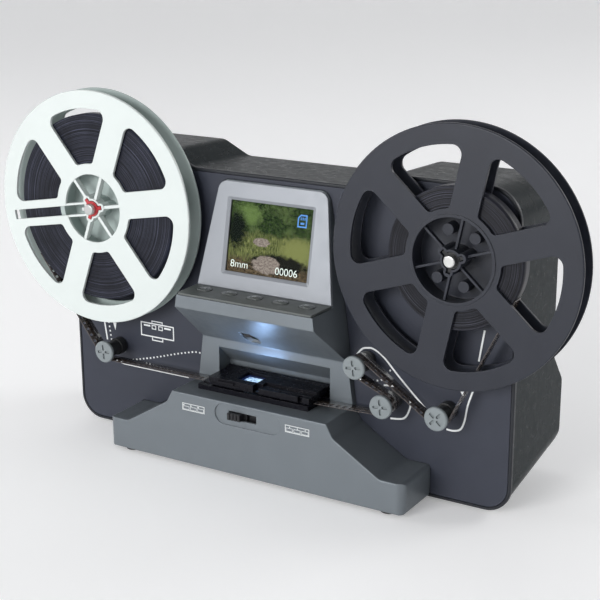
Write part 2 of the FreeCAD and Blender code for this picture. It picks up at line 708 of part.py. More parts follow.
def make_button_deck():
    """Dark top of the shelf, with an oval hole for each key."""
    front_half = COLUMN_HALF - 0.6
    corners = [
        (-front_half, dy(SHELF_DEPTH), 1.2), (front_half, dy(SHELF_DEPTH), 1.2),
        (COLUMN_HALF, dy(BEZEL_FOOT_DEPTH + 1.0), 0), (-COLUMN_HALF, dy(BEZEL_FOOT_DEPTH + 1.0), 0),
    ]
    low = BEZEL_FOOT_HEIGHT - DECK_THICKNESS
    deck = slab(corners, flat(hz(low + 0.25)), Vector(0, 0, DECK_THICKNESS - 0.25))
    lip_corners = [
        (-36.2, dy(SHELF_DEPTH + 2.5), 1.0), (36.2, dy(SHELF_DEPTH + 2.5), 1.0),
        (36.2, dy(BEZEL_FOOT_DEPTH - 1.3), 1.0), (-36.2, dy(BEZEL_FOOT_DEPTH - 1.3), 1.0),
    ]
    lip = slab(lip_corners, flat(hz(low - 0.6)), Vector(0, 0, 0.9))
    deck = join([deck, lip])
    deck = deck.cut(leaned(box(-60, 60, -0.02, 10, -4, 10)))
    for i in range(5):
        hole = key_outline(key_x(i), KEY_LENGTH + 0.6, KEY_WIDTH + 0.6)
        deck = deck.cut(slab(hole, flat(hz(low - 2)), Vector(0, 0, 6)))
    return deck


def make_key(index):
    """Domed oval key with a retaining flange under the deck and a stem."""
    x = key_x(index)
    low = BEZEL_FOOT_HEIGHT - DECK_THICKNESS - 0.6
    cap = slab(key_outline(x, KEY_LENGTH, KEY_WIDTH), flat(hz(low - 0.6)),
               Vector(0, 0, DECK_THICKNESS + 2.2))
    dome = Part.makeSphere(14.0, Vector(x, dy(KEY_DEPTH), hz(BEZEL_FOOT_HEIGHT + 0.95) - 14.0))
    cap = cap.common(dome)
    flange = slab(key_outline(x, KEY_LENGTH + 2.0, KEY_WIDTH + 2.0), flat(hz(low - 1.2)),
                  Vector(0, 0, 0.9))
    stem = post(x, KEY_DEPTH, 1.4, low - 2.4, low - 0.8)
    return join([cap, flange, stem])


def key_switch_top():
    """Height of the switches' plungers, just below the stems of pressed keys."""
    stem_foot = BEZEL_FOOT_HEIGHT - DECK_THICKNESS - 0.6 - 2.4
    return stem_foot - KEY_TRAVEL - CLEAR


def make_key_board():
    """Circuit board with a push switch under each key."""
    top = key_switch_top()
    board = block(-37.0, 37.0, KEY_DEPTH - 5.0, KEY_DEPTH + 5.0, top - 2.6, top - 1.6)
    switches = []
    for i in range(5):
        x = key_x(i)
        switches.append(block(x - 2.2, x + 2.2, KEY_DEPTH - 2.2, KEY_DEPTH + 2.2,
                              top - 1.7, top - 0.4))
        switches.append(post(x, KEY_DEPTH, 1.1, top - 0.5, top))
    return join([board] + switches)


CAMERA_FOOT = 71.5


def make_camera_module():
    """Lens barrel over the film gate, on its holder and circuit board."""
    back = APERTURE_DEPTH + 9.0
    front = APERTURE_DEPTH - 4.6
    barrel = post(APERTURE_X, APERTURE_DEPTH, 4.4, CAMERA_FOOT, CAMERA_FOOT + 10.5)
    collar = post(APERTURE_X, APERTURE_DEPTH, 6.5, CAMERA_FOOT + 7.5, CAMERA_FOOT + 10.5)
    holder = block(APERTURE_X - 9, APERTURE_X + 9, front, back,
                   CAMERA_FOOT + 10.5, CAMERA_FOOT + 12.5)
    bore = post(APERTURE_X, APERTURE_DEPTH, 3.2, CAMERA_FOOT - 0.5, CAMERA_FOOT + 12.0)
    board = block(APERTURE_X - 9, APERTURE_X + 9, front, back,
                  CAMERA_FOOT + 12.5, CAMERA_FOOT + 13.7)
    return join([join([barrel, collar, holder]).cut(bore), board])


def make_camera_lens():
    """Glass element held in the barrel's mouth."""
    disc = post(APERTURE_X, APERTURE_DEPTH, 3.2, CAMERA_FOOT + 0.7, CAMERA_FOOT + 3.7)
    curve = Part.makeSphere(7.0, Vector(APERTURE_X, dy(APERTURE_DEPTH), hz(CAMERA_FOOT + 7.7)))
    return disc.common(curve)


# ---- Film gate --------------------------------------------------------------------------
def aperture_block(grow, height0, height1):
    half_length = APERTURE_LENGTH / 2 + grow
    half_width = APERTURE_WIDTH / 2 + grow
    return block(APERTURE_X - half_length, APERTURE_X + half_length,
                 APERTURE_DEPTH - half_width, APERTURE_DEPTH + half_width, height0, height1)


def claw_slot(height0, height1):
    """Slot that the claw's tip moves in."""
    half = 0.5 + CLAW_STROKE / 2 + CLEAR
    return block(CLAW_X - half, CLAW_X + half, CLAW_DEPTH - 0.8, CLAW_DEPTH + 0.8,
                 height0, height1)


def film_height():
    """Height of the film's middle layer in the gate, level with the first roller's foot."""
    return ROLLERS[0][1] - (ROLLER_RADIUS + CLEAR + FILM_THICKNESS / 2)


def make_gate_bed():
    """Lower half of the film gate: plate, side rails and the ears of the hinge."""
    front = block(GATE_LEFT, GATE_RIGHT, GATE_FRONT, LEG_DEPTH - 0.3, BASE_TOP, GATE_BED_TOP)
    rear = block(-33.9, 33.9, LEG_DEPTH - 0.5, GATE_BACK, BASE_TOP, GATE_BED_TOP)
    rail_top = film_height() + 0.1
    rails = [
        block(GATE_LEFT + 1.0, DOOR_RIGHT - 1.0, FILM_FRONT - 2.2, FILM_FRONT - 0.3,
              GATE_BED_TOP - 0.2, rail_top),
        block(GATE_LEFT + 1.0, DOOR_RIGHT - 1.0, FILM_BACK + 0.3, FILM_BACK + 1.8,
              GATE_BED_TOP - 0.2, rail_top),
    ]
    ears = []
    for x0 in (DOOR_LEFT - 2.2, DOOR_RIGHT + 0.5):
        ear = block(x0, x0 + 1.7, HINGE_DEPTH - 1.7, HINGE_DEPTH + 1.7, GATE_BED_TOP - 0.2,
                    HINGE_HEIGHT)
        ears.append(ear)
        ears.append(axle(HINGE_DEPTH, HINGE_HEIGHT, 1.7, x0, x0 + 1.7))
    bed = join([front, rear] + rails + ears)
    bed = bed.cut(axle(HINGE_DEPTH, HINGE_HEIGHT, HINGE_PIN_RADIUS, -36.0, 36.0))
    bed = bed.cut(aperture_block(0.0, BASE_TOP - 1, GATE_BED_TOP + 1))
    return bed.cut(claw_slot(BASE_TOP - 1, GATE_BED_TOP + 1))


def make_gate_door():
    """Hinged upper half of the gate, with guides, finger tab and the picture window."""
    under = film_height() + FILM_THICKNESS / 2 + CLEAR
    back = HINGE_DEPTH - 2.4
    body = block(DOOR_LEFT, DOOR_RIGHT, DOOR_FRONT, back, under, DOOR_TOP)
    lowered = block(1.0, DOOR_RIGHT + 1, DOOR_FRONT - 1, -11.2, DOOR_TOP - 1.1, DOOR_TOP + 1)
    body = body.cut(lowered)
    for depth, width, sink in ((-16.6, 0.8, 2.0), (-13.6, 0.8, 1.9), (-1.2, 0.9, 0.8)):
        groove = block(2.2, DOOR_RIGHT + 1, depth, depth + width, DOOR_TOP - sink, DOOR_TOP + 1)
        body = body.cut(groove)
    body = body.cut(block(-2.6, 1.0, DOOR_FRONT - 1, -14.6, under - 1, DOOR_TOP + 1))
    body = body.cut(block(24.4, 27.4, DOOR_FRONT - 1, -16.4, under - 1, DOOR_TOP + 1))
    body = body.cut(block(DOOR_LEFT - 1, -4.4, DOOR_FRONT - 1, DOOR_FRONT + 0.5,
                          under + 1.3, under + 2.1))
    tab = block(-24.0, -14.0, DOOR_FRONT - 1.2, DOOR_FRONT + 1.0, DOOR_TOP - 2.1, DOOR_TOP - 1.0)
    barrel = axle(HINGE_DEPTH, HINGE_HEIGHT, 1.6, DOOR_LEFT, DOOR_RIGHT)
    web = block(DOOR_LEFT, DOOR_RIGHT, back - 0.5, HINGE_DEPTH, HINGE_HEIGHT - 0.8,
                HINGE_HEIGHT + 0.8)
    door = join([body, tab, barrel, web])
    door = door.cut(block(-15.6, -2.8, -14.2, -2.4, under - 1, DOOR_TOP + 1))
    return door.cut(axle(HINGE_DEPTH, HINGE_HEIGHT, HINGE_PIN_RADIUS + RUNNING, -36.0, 36.0))


def make_light_diffuser():
    """Milky window under the film, in the bed's opening."""
    return aperture_block(-0.1, BASE_TOP + 0.6, GATE_BED_TOP - 0.1)


def make_light_board():
    """Small board with the lamp chip, fixed under the base's top."""
    inside_top = BASE_TOP - BASE_WALL
    board = block(APERTURE_X - 9, APERTURE_X + 9, APERTURE_DEPTH - 6, APERTURE_DEPTH + 6,
                  inside_top - 1.6, inside_top)
    chip = block(APERTURE_X - 2.5, APERTURE_X + 2.5, APERTURE_DEPTH - 2.5, APERTURE_DEPTH + 2.5,
                 inside_top - 0.1, inside_top + 1.2)
    return join([board, chip])


# ---- Film feed --------------------------------------------------------------------------
RAIL_HEIGHTS = (26.0, 31.0)
RAIL_DEPTH = -6.9
RAIL_RADIUS = 1.0
CARRIAGE_LEFT = 9.4
CARRIAGE_RIGHT = 24.6


def feed_motor_x():
    return CAM_X + FEED_MODULE * (CAM_TEETH + FEED_PINION_TEETH) / 2


def make_feed_bracket():
    """Bent plate: its back holds the motor and the cam's stud, its shelf the claw's rails."""
    back = block(-1.0, 44.5, 3.6, 5.1, 6.4, 37.5)
    back = back.cut(rod(CAM_X, hz(CAM_HEIGHT), 1.5, 3.0, 6.0))
    back = back.cut(rod(feed_motor_x(), hz(CAM_HEIGHT), 3.3, 3.0, 6.0))
    shelf = block(2.0, 36.0, -14.6, 4.0, 34.6, 36.1)
    ears = [block(x, x + 1.8, -9.6, -4.2, 23.0, 35.0) for x in (2.0, 34.2)]
    bracket = join([back, shelf] + ears).cut(claw_slot(34.0, 37.0))
    for height in RAIL_HEIGHTS:
        bracket = bracket.cut(axle(RAIL_DEPTH, height, RAIL_RADIUS, 0.0, 38.0))
    return bracket


def make_feed_cam():
    """Gear with an eccentric pin that drives the claw."""
    z = hz(CAM_HEIGHT)
    bore = rod(CAM_X, z, 1.5 + RUNNING, -3.9, 0.0)
    wheel = gear(CAM_X, z, CAM_TEETH, FEED_MODULE, 1.5 + RUNNING, -3.4, -1.4, 0.0)
    shield = tube(CAM_X, z, 4.4, 1.5 + RUNNING, -3.9, -3.3)
    pin = rod(CAM_X, z + CLAW_STROKE / 2, 0.8, -8.4, -3.3)
    return join([wheel, shield, pin.cut(bore)])


def make_feed_pinion():
    """Motor shaft with its pinion."""
    x = feed_motor_x()
    z = hz(CAM_HEIGHT)
    wheel = gear(x, z, FEED_PINION_TEETH, FEED_MODULE, 0.6, -3.4, -1.4,
                 180.0 + 180.0 / FEED_PINION_TEETH)
    return join([wheel, rod(x, z, 1.2, -3.4, 14.0)])


def make_feed_claw():
    """Carriage on two rails with the tip that enters the film's perforations."""
    body = block(CARRIAGE_LEFT, CARRIAGE_RIGHT, -9.0, -4.8, 12.0, 33.4)
    arm = block(CLAW_X - 0.5, CLAW_X + 0.5, CLAW_DEPTH - 0.4, -8.0, 31.5, 33.4)
    tip = block(CLAW_X - 0.5, CLAW_X + 0.5, CLAW_DEPTH - 0.4, CLAW_DEPTH + 0.4, 31.5,
                GATE_BED_TOP - 0.4)
    claw = join([body, arm, tip])
    tall = CLAW_STROKE / 2 + 0.8 + CLEAR
    wide = tall + CLAW_STROKE / 2
    claw = claw.cut(block(CAM_X - wide, CAM_X + wide, -10.0, -4.0,
                          CAM_HEIGHT - tall, CAM_HEIGHT + tall))
    for height in RAIL_HEIGHTS:
        claw = claw.cut(axle(RAIL_DEPTH, height, RAIL_RADIUS + RUNNING, 0.0, 40.0))
    return claw


# ---- Reels ------------------------------------------------------------------------------
def reel_window(x, turn, index):
    """One opening between two parallel-sided spokes, with rounded corners."""
    ring = tube(x, REEL_Z, WINDOW_OUTER, WINDOW_INNER, REEL_FRONT - 2, REEL_BACK + 2)
    first = turn + 60.0 * index
    half = SPOKE_WIDTH / 2
    wedge = [(x, REEL_Z, 0)]
    for angle in (first, first + 30.0, first + 60.0):
        reach = 75.0
        wedge.append((x + reach * math.cos(math.radians(angle)),
                      REEL_Z + reach * math.sin(math.radians(angle)), 0))
    middle = math.radians(first + 30.0)
    shift = half / math.sin(math.radians(30.0))
    moved = [(u + shift * math.cos(middle), v + shift * math.sin(middle), 0)
             for u, v, radius in wedge]
    opening = ring.common(plate_y(moved, REEL_FRONT - 2, REEL_BACK + 2))
    upright_edges = [edge for edge in opening.Edges
                     if abs(edge.tangentAt(edge.FirstParameter).y) > 0.99]
    outer = [edge for edge in upright_edges
             if math.hypot(edge.CenterOfMass.x - x, edge.CenterOfMass.z - REEL_Z) > 40]
    inner = [edge for edge in upright_edges
             if math.hypot(edge.CenterOfMass.x - x, edge.CenterOfMass.z - REEL_Z) < 40]
    return opening.makeFillet(4.5, outer).makeFillet(2.4, inner)


def lobed_bore(x, turn, depth0, depth1):
    """Bore with three keyways, as small-gauge reels have."""
    bore = rod(x, REEL_Z, 4.3, depth0, depth1)
    keyways = []
    for i in range(3):
        key = box(x, x + 6.4, dy(depth0), dy(depth1), REEL_Z - 1.2, REEL_Z + 1.2)
        keyways.append(spin(key, x, REEL_Z, turn + 120.0 * i))
    return join([bore] + keyways)


def hub_boss(x, turn, depth0, depth1):
    """Middle of the hub: a tube with three lobes round the keyways."""
    lobes = []
    for i in range(3):
        lobe = rod(x + 5.6, REEL_Z, 2.4, depth0, depth1)
        lobes.append(spin(lobe, x, REEL_Z, turn + 120.0 * i))
    return join([rod(x, REEL_Z, 5.4, depth0, depth1)] + lobes)


def make_reel_front(x, turn, threading_slot):
    """Front flange with a rounded rim, windows, a hub opening and ribs.

    The supply reel has wider ribs, flush with the flange, and a slot to thread the film.
    The take-up reel has a ring round its hub, sunken ribs and a taller boss.
    """
    inner_face = REEL_FRONT + FLANGE
    opening = SUPPLY_HUB_OPENING if threading_slot else HUB_OPENING
    rib_half = 0.85 if threading_slot else 0.55
    rib_front = REEL_FRONT if threading_slot else REEL_FRONT + 0.9
    boss_rise = 0.4 if threading_slot else 2.0
    flange = rod(x, REEL_Z, REEL_RADIUS, REEL_FRONT - 0.3, inner_face)
    flange = flange.makeFillet(0.6, front_edges(flange, dy(REEL_FRONT - 0.3)))
    windows = [reel_window(x, turn, i) for i in range(6)]
    flange = flange.cut(windows + [rod(x, REEL_Z, opening, REEL_FRONT - 2, REEL_BACK)])
    if not threading_slot:
        ring = tube(x, REEL_Z, opening + 1.4, opening, REEL_FRONT - 0.8, REEL_FRONT)
        flange = join([flange, ring])
    ribs = []
    for i in range(6):
        rib = box(x + 4.8, x + opening + 0.1, dy(rib_front), dy(REEL_FRONT + 3.2),
                  REEL_Z - rib_half, REEL_Z + rib_half)
        ribs.append(spin(rib, x, REEL_Z, turn + 60.0 * i))
    boss = hub_boss(x, turn, REEL_FRONT - boss_rise, REEL_FRONT + 5.0)
    front = join([flange, boss] + ribs)
    front = front.cut(lobed_bore(x, turn, REEL_FRONT - 3, REEL_FRONT + 6))
    if threading_slot:
        slot = box(x + 7.5, x + 56.5, dy(REEL_FRONT - 2), dy(inner_face + 3),
                   REEL_Z - 2.6, REEL_Z + 2.6)
        front = front.cut(spin(slot, x, REEL_Z, turn + 180.0))
        cheeks = []
        for side in (-3.2, 3.2):
            cheek = box(x + 3.6, x + opening, dy(REEL_FRONT), dy(REEL_FRONT + 3.2),
                        REEL_Z + side - 0.6, REEL_Z + side + 0.6)
            cheeks.append(spin(cheek, x, REEL_Z, turn + 180.0))
        front = join([front] + cheeks)
        front = front.cut(lobed_bore(x, turn, REEL_FRONT - 3, REEL_FRONT + 6))
    return front


def make_reel_rear(x, turn, peg_steps):
    """Rear flange with the drum that the film is wound on."""
    inner_face = REEL_BACK - FLANGE
    flange = rod(x, REEL_Z, REEL_RADIUS, inner_face, REEL_BACK)
    flange = flange.makeFillet(0.5, front_edges(flange, dy(REEL_BACK)))
    flange = flange.cut([reel_window(x, turn, i) for i in range(6)])
    drum = tube(x, REEL_Z, WINDOW_INNER - 0.4, HUB_OPENING + 0.6, REEL_FRONT + FLANGE,
                inner_face + 0.2)
    boss = hub_boss(x, turn, REEL_FRONT + 5.0, REEL_BACK)
    parts = [flange, drum, boss]
    for step in peg_steps:
        angle = math.radians(turn + 30.0 + 60.0 * step)
        peg_x = x + 14.0 * math.cos(angle)
        peg_z = REEL_Z + 14.0 * math.sin(angle)
        parts.append(rod(peg_x, peg_z, 2.8, REEL_FRONT + 3.6, inner_face + 0.2))
    return join(parts).cut(lobed_bore(x, turn, REEL_FRONT + 4, REEL_BACK + 2))


def make_film_pack(x, radius):
    """The film wound on the drum, as one ring."""
    return tube(x, REEL_Z, radius, WINDOW_INNER - 0.4, FILM_FRONT - 0.2, FILM_BACK + 0.2)


def make_spindle(x):
    """Shaft with a shoulder behind the reel and a rounded tip in front of it."""
    shaft = rod(x, REEL_Z, SPINDLE_RADIUS, SPINDLE_TIP, SPINDLE_TAIL)
    tip_edge = [edge for edge in shaft.Edges if edge.CenterOfMass.y < dy(SPINDLE_TIP) + 0.01
                and edge.Length > 15]
    shaft = shaft.makeFillet(0.7, tip_edge)
    shoulder = rod(x, REEL_Z, 7.2, REEL_BACK + 0.55, -0.6)
    return join([shaft, shoulder])


def make_latch(x, turn):
    """Sleeve on the spindle whose three lobes sit in the reel's keyways."""
    sleeve = tube(x, REEL_Z, 4.1, SPINDLE_RADIUS, REEL_FRONT - 1.0, REEL_BACK + 0.5)
    lobes = []
    for i in range(3):
        lobe = box(x + 3.5, x + 6.1, dy(REEL_FRONT - 0.8), dy(REEL_BACK - 1.0),
                   REEL_Z - 0.9, REEL_Z + 0.9)
        lobes.append(spin(lobe, x, REEL_Z, turn + 120.0 * i))
    return join([sleeve] + lobes)


def motor_x(side):
    return side * (REEL_X - REEL_MODULE * (REEL_GEAR_TEETH + REEL_PINION_TEETH) / 2)


def make_reel_gear(side):
    """Gear fixed on the spindle behind the frame, with a clamped hub."""
    x = side * REEL_X
    phase = 180.0 if side > 0 else 0.0
    wheel = gear(x, REEL_Z, REEL_GEAR_TEETH, REEL_MODULE, SPINDLE_RADIUS, 7.0, 10.0, phase)
    hub = tube(x, REEL_Z, 6.0, SPINDLE_RADIUS, 6.4, 12.0)
    holes = []
    for i in range(5):
        angle = math.radians(36.0 + 72.0 * i)
        holes.append(rod(x + 11.5 * math.cos(angle), REEL_Z + 11.5 * math.sin(angle), 3.0,
                         6.0, 12.0))
    return join([wheel, hub]).cut(holes)


def make_motor_pinion(side):
    x = motor_x(side)
    towards_gear = 0.0 if side > 0 else 180.0
    phase = towards_gear + 180.0 / REEL_PINION_TEETH
    wheel = gear(x, REEL_Z, REEL_PINION_TEETH, REEL_MODULE, 0.8, 7.0, 10.0, phase)
    return join([wheel, rod(x, REEL_Z, 1.2, 7.0, 24.0)])


def make_motor(x, z, depth):
    """Geared motor that stands on a plate at that depth, nose through the plate."""
    can = rod(x, z, MOTOR_RADIUS, depth, depth + 25.0)
    nose = rod(x, z, 3.0, depth - 1.5, depth + 0.2)
    cap = rod(x, z, 7.0, depth + 25.0, depth + 27.0)
    return join([can, nose, cap]).cut(rod(x, z, 1.2 + RUNNING, depth - 2.0, depth + 9.8))


def make_motors():
    motors = [make_motor(motor_x(side), REEL_Z, BRACKET_BACK) for side in (-1, 1)]
    return motors + [make_motor(feed_motor_x(), hz(CAM_HEIGHT), 5.1)]


BRACKET_FRONT = 13.0
BRACKET_BACK = 14.6


def bracket_screws(side):
    """Corners of the motor bracket."""
    return [(side * x, REEL_Z + rise) for x in (64.0, 127.0) for rise in (12.0, -12.0)]


def make_motor_bracket(side):
    """Steel plate on four bosses that carries the motor and the spindle's rear bush."""
    middle = side * 95.2
    outline = rectangle(34.4, REEL_Z - 14.4, REEL_Z + 14.4, 2.4, middle)
    plate = plate_y(outline, BRACKET_FRONT, BRACKET_BACK)
    plate = plate.cut(rod(motor_x(side), REEL_Z, 3.3, 12.0, 16.0))
    plate = plate.cut(rod(side * REEL_X, REEL_Z, 5.0, 12.0, 16.0))
    for x, z in bracket_screws(side):
        plate = plate.cut(rod(x, z, 1.3, 12.0, 16.0))
    return plate


def make_bushes():
    """Flanged bushes that the two spindles turn in, front and rear."""
    bushes = []
    for side in (-1, 1):
        x = side * REEL_X
        front = join([tube(x, REEL_Z, 5.5, SPINDLE_RADIUS + RUNNING, 1.2, 5.2),
                      tube(x, REEL_Z, 7.5, SPINDLE_RADIUS + RUNNING, 5.0, 6.0)])
        rear = join([tube(x, REEL_Z, 5.0, SPINDLE_RADIUS + RUNNING, 13.0, 16.4),
                     tube(x, REEL_Z, 7.0, SPINDLE_RADIUS + RUNNING, 14.6, 15.8)])
        bushes += [front, rear]
    return bushes


# ---- Rollers and film -------------------------------------------------------------------
def make_roller(index):
    """Dark sleeve: a film track with a thicker tail behind it."""
    x, height = ROLLERS[index]
    z = hz(height)
    front = ROLLER_FRONT + ROLLER_CAP + CLEAR
    track = rod(x, z, ROLLER_RADIUS, front, ROLLER_BACK)
    tail = rod(x, z, ROLLER_RADIUS + 0.7, FILM_BACK + 0.5, ROLLER_BACK)
    return join([track, tail]).cut(rod(x, z, ROLLER_PIN_RADIUS + RUNNING, front, ROLLER_BACK))


def make_roller_caps():
    """Grey discs pressed on the roller pins, each with four slots and a bevelled edge."""
    caps = []
    for (x, height), turn in zip(ROLLERS, CAP_SLOT_TURNS):
        z = hz(height)
        cap = rod(x, z, ROLLER_CAP_RADIUS, ROLLER_FRONT, ROLLER_FRONT + ROLLER_CAP)
        rim_edges = [edge for edge in cap.Edges
                     if edge.CenterOfMass.y < dy(ROLLER_FRONT) + 0.01 and edge.Length > 30]
        cap = cap.makeChamfer(0.5, rim_edges)
        cap = cap.cut(rod(x, z, ROLLER_PIN_RADIUS, PIN_FRONT, ROLLER_FRONT + 3.0))
        slots = []
        for i in range(4):
            arm = rectangle(1.6, z - 0.7, z + 0.7, 0.6, x + 2.5)
            slot = plate_y(arm, ROLLER_FRONT - 1, ROLLER_FRONT + 0.85)
            slots.append(spin(slot, x, z, turn + 90.0 * i))
        caps.append(cap.cut(slots))
    return caps


CAP_SLOT_TURNS = (95.0, 97.0, 95.0, 48.0)
PIN_FRONT = ROLLER_FRONT + 0.9


def make_steel_pins():
    """Steel pins: the rollers', the cam's stud, the claw's two rails and the gate's hinge."""
    pins = [rod(x, hz(height), ROLLER_PIN_RADIUS, PIN_FRONT, 3.6) for x, height in ROLLERS]
    pins.append(rod(CAM_X, hz(CAM_HEIGHT), 1.5, -3.7, 5.1))
    pins.append(axle(HINGE_DEPTH, HINGE_HEIGHT, HINGE_PIN_RADIUS, DOOR_LEFT - 2.2,
                     DOOR_RIGHT + 2.2))
    return pins + [axle(RAIL_DEPTH, height, RAIL_RADIUS, 2.0, 36.0) for height in RAIL_HEIGHTS]


def film_guides():
    """What the film goes round, in order: centre, radius of its middle layer, and turn.

    The turn is 1 where the film goes round anticlockwise, seen from the front, and -1
    where it goes round clockwise.
    """
    half = FILM_THICKNESS / 2
    wrap = ROLLER_RADIUS + CLEAR + half
    first, second, third, fourth = [(x, hz(height)) for x, height in ROLLERS]
    gate_exit = (36.0, hz(film_height()) + 12.0)
    return [
        ((-REEL_X, REEL_Z), SUPPLY_PACK_RADIUS + CLEAR + half, 1),
        (first, wrap, 1),
        (gate_exit, 12.0, 1),
        (third, wrap, 1),
        (second, wrap, -1),
        (fourth, wrap, 1),
        ((REEL_X, REEL_Z), TAKEUP_PACK_RADIUS + CLEAR + half, 1),
    ]


def common_tangent(first, second):
    """Points where the film leaves one guide and reaches the next."""
    (x1, z1), radius1, turn1 = first
    (x2, z2), radius2, turn2 = second
    gap = math.hypot(x2 - x1, z2 - z1)
    heading = math.atan2(z2 - z1, x2 - x1)
    lean = math.asin((turn2 * radius2 - turn1 * radius1) / gap)
    direction = heading - lean
    leave = direction - turn1 * math.pi / 2
    reach = direction - turn2 * math.pi / 2
    start = (x1 + radius1 * math.cos(leave), z1 + radius1 * math.sin(leave), leave)
    end = (x2 + radius2 * math.cos(reach), z2 + radius2 * math.sin(reach), reach)
    return start, end


def film_edges(side, depth):
    """Edges of one surface of the film; side is half the thickness, to the left or right."""
    guides = [(centre, radius - turn * side, turn) for centre, radius, turn in film_guides()]
    spans = [common_tangent(guides[i], guides[i + 1]) for i in range(len(guides) - 1)]
    edges = []
    for i, (start, end) in enumerate(spans):
        if i:
            (cx, cz), radius, turn = guides[i]
            before = spans[i - 1][1][2]
            after = start[2]
            sweep = (after - before) % (2 * math.pi) if turn > 0 else -((before - after) % (2 * math.pi))
            middle = before + sweep / 2
            points = [spans[i - 1][1][:2],
                      (cx + radius * math.cos(middle), cz + radius * math.sin(middle)),
                      start[:2]]
            arc = Part.Arc(*[Vector(px, dy(depth), pz) for px, pz in points])
            edges.append(arc.toShape())
        edges.append(Part.LineSegment(Vector(start[0], dy(depth), start[1]),
                                      Vector(end[0], dy(depth), end[1])).toShape())
    ends = (Vector(spans[0][0][0], dy(depth), spans[0][0][1]),
            Vector(spans[-1][1][0], dy(depth), spans[-1][1][1]))
    return edges, ends


def make_film_strip():
    """The film between the two packs, as one ribbon of constant width."""
    half = FILM_THICKNESS / 2
    left, left_ends = film_edges(half, FILM_FRONT)
    right, right_ends = film_edges(-half, FILM_FRONT)
    caps = [Part.LineSegment(left_ends[i], right_ends[i]).toShape() for i in (0, 1)]
    wire = Part.Wire(Part.__sortEdges__(left + right + caps))
    return Part.Face(wire).extrude(Vector(0, FILM_WIDTH, 0))


# ---- Electronics ------------------------------------------------------------------------
JACK_BOARD_HEIGHT = 26.0
JACK_BOARD = 1.6
CARD_X = 30.0
USB_X = -14.0
DC_X = -36.0
DC_RADIUS = 2.8
# x, half width, low, high and corner radius of each opening in the back
SOCKET_OPENINGS = (
    (CARD_X, 13.0, 26.4, 30.2, 0.8),
    (USB_X, 5.2, 25.2, 30.8, 0.8),
    (DC_X, 4.6, 26.0, 35.2, 4.5),
)


def make_main_board():
    board = block(-60.0, 60.0, 26.0, 27.6, 44.0, 124.0)
    for x, z in board_places():
        board = board.cut(rod(x, z, 1.5, 25.0, 29.0))
    chips = [
        block(-12.0, 8.0, 27.5, 29.4, 78.0, 98.0),
        block(18.0, 30.0, 27.5, 28.8, 82.0, 94.0),
        block(-40.0, -26.0, 27.5, 30.4, 60.0, 66.0),
        block(20.0, 40.0, 27.5, 31.0, 56.0, 61.0),
    ]
    cans = [rod(x, hz(height), 3.0, 27.5, 35.0) for x, height in ((-44.0, 84.0), (-44.0, 94.0))]
    return join([board] + chips + cans)


def make_jack_board():
    """Board at the back that carries the sockets, on four pillars of the cover."""
    return block(-46.0, 48.0, 34.0, 64.0, JACK_BOARD_HEIGHT - JACK_BOARD, JACK_BOARD_HEIGHT)


def make_card_socket():
    shell = block(CARD_X - 13.6, CARD_X + 13.6, 36.0, 65.0, JACK_BOARD_HEIGHT,
                  JACK_BOARD_HEIGHT + 3.8)
    return shell.cut(block(CARD_X - 12.4, CARD_X + 12.4, 36.8, 66.0,
                           JACK_BOARD_HEIGHT + 0.6, JACK_BOARD_HEIGHT + 3.3))


def make_memory_card():
    card = block(CARD_X - 12.0, CARD_X + 12.0, 37.4, 67.4, JACK_BOARD_HEIGHT + 0.9,
                 JACK_BOARD_HEIGHT + 3.0)
    clipped = [
        (CARD_X - 13.0, dy(36.0), 0), (CARD_X - 8.0, dy(36.0), 0), (CARD_X - 13.0, dy(41.0), 0),
    ]
    return card.cut(slab(clipped, flat(hz(JACK_BOARD_HEIGHT)), Vector(0, 0, 5)))


def make_usb_socket():
    shell = block(USB_X - 4.0, USB_X + 4.0, 56.0, 65.2, JACK_BOARD_HEIGHT, JACK_BOARD_HEIGHT + 4.0)
    shell = shell.cut(block(USB_X - 3.5, USB_X + 3.5, 58.0, 66.0, JACK_BOARD_HEIGHT + 0.5,
                            JACK_BOARD_HEIGHT + 3.5))
    tongue = block(USB_X - 2.2, USB_X + 2.2, 57.8, 64.0, JACK_BOARD_HEIGHT + 1.9,
                   JACK_BOARD_HEIGHT + 2.5)
    return join([shell, tongue])


def make_dc_socket():
    """Power inlet with its centre contact."""
    z = hz(JACK_BOARD_HEIGHT + 4.6)
    body = block(DC_X - 4.4, DC_X + 4.4, 54.0, 65.2, JACK_BOARD_HEIGHT, JACK_BOARD_HEIGHT + 9.2)
    body = body.cut(rod(DC_X, z, DC_RADIUS, 56.0, 66.0))
    return join([body, rod(DC_X, z, 0.8, 55.8, 64.0)])


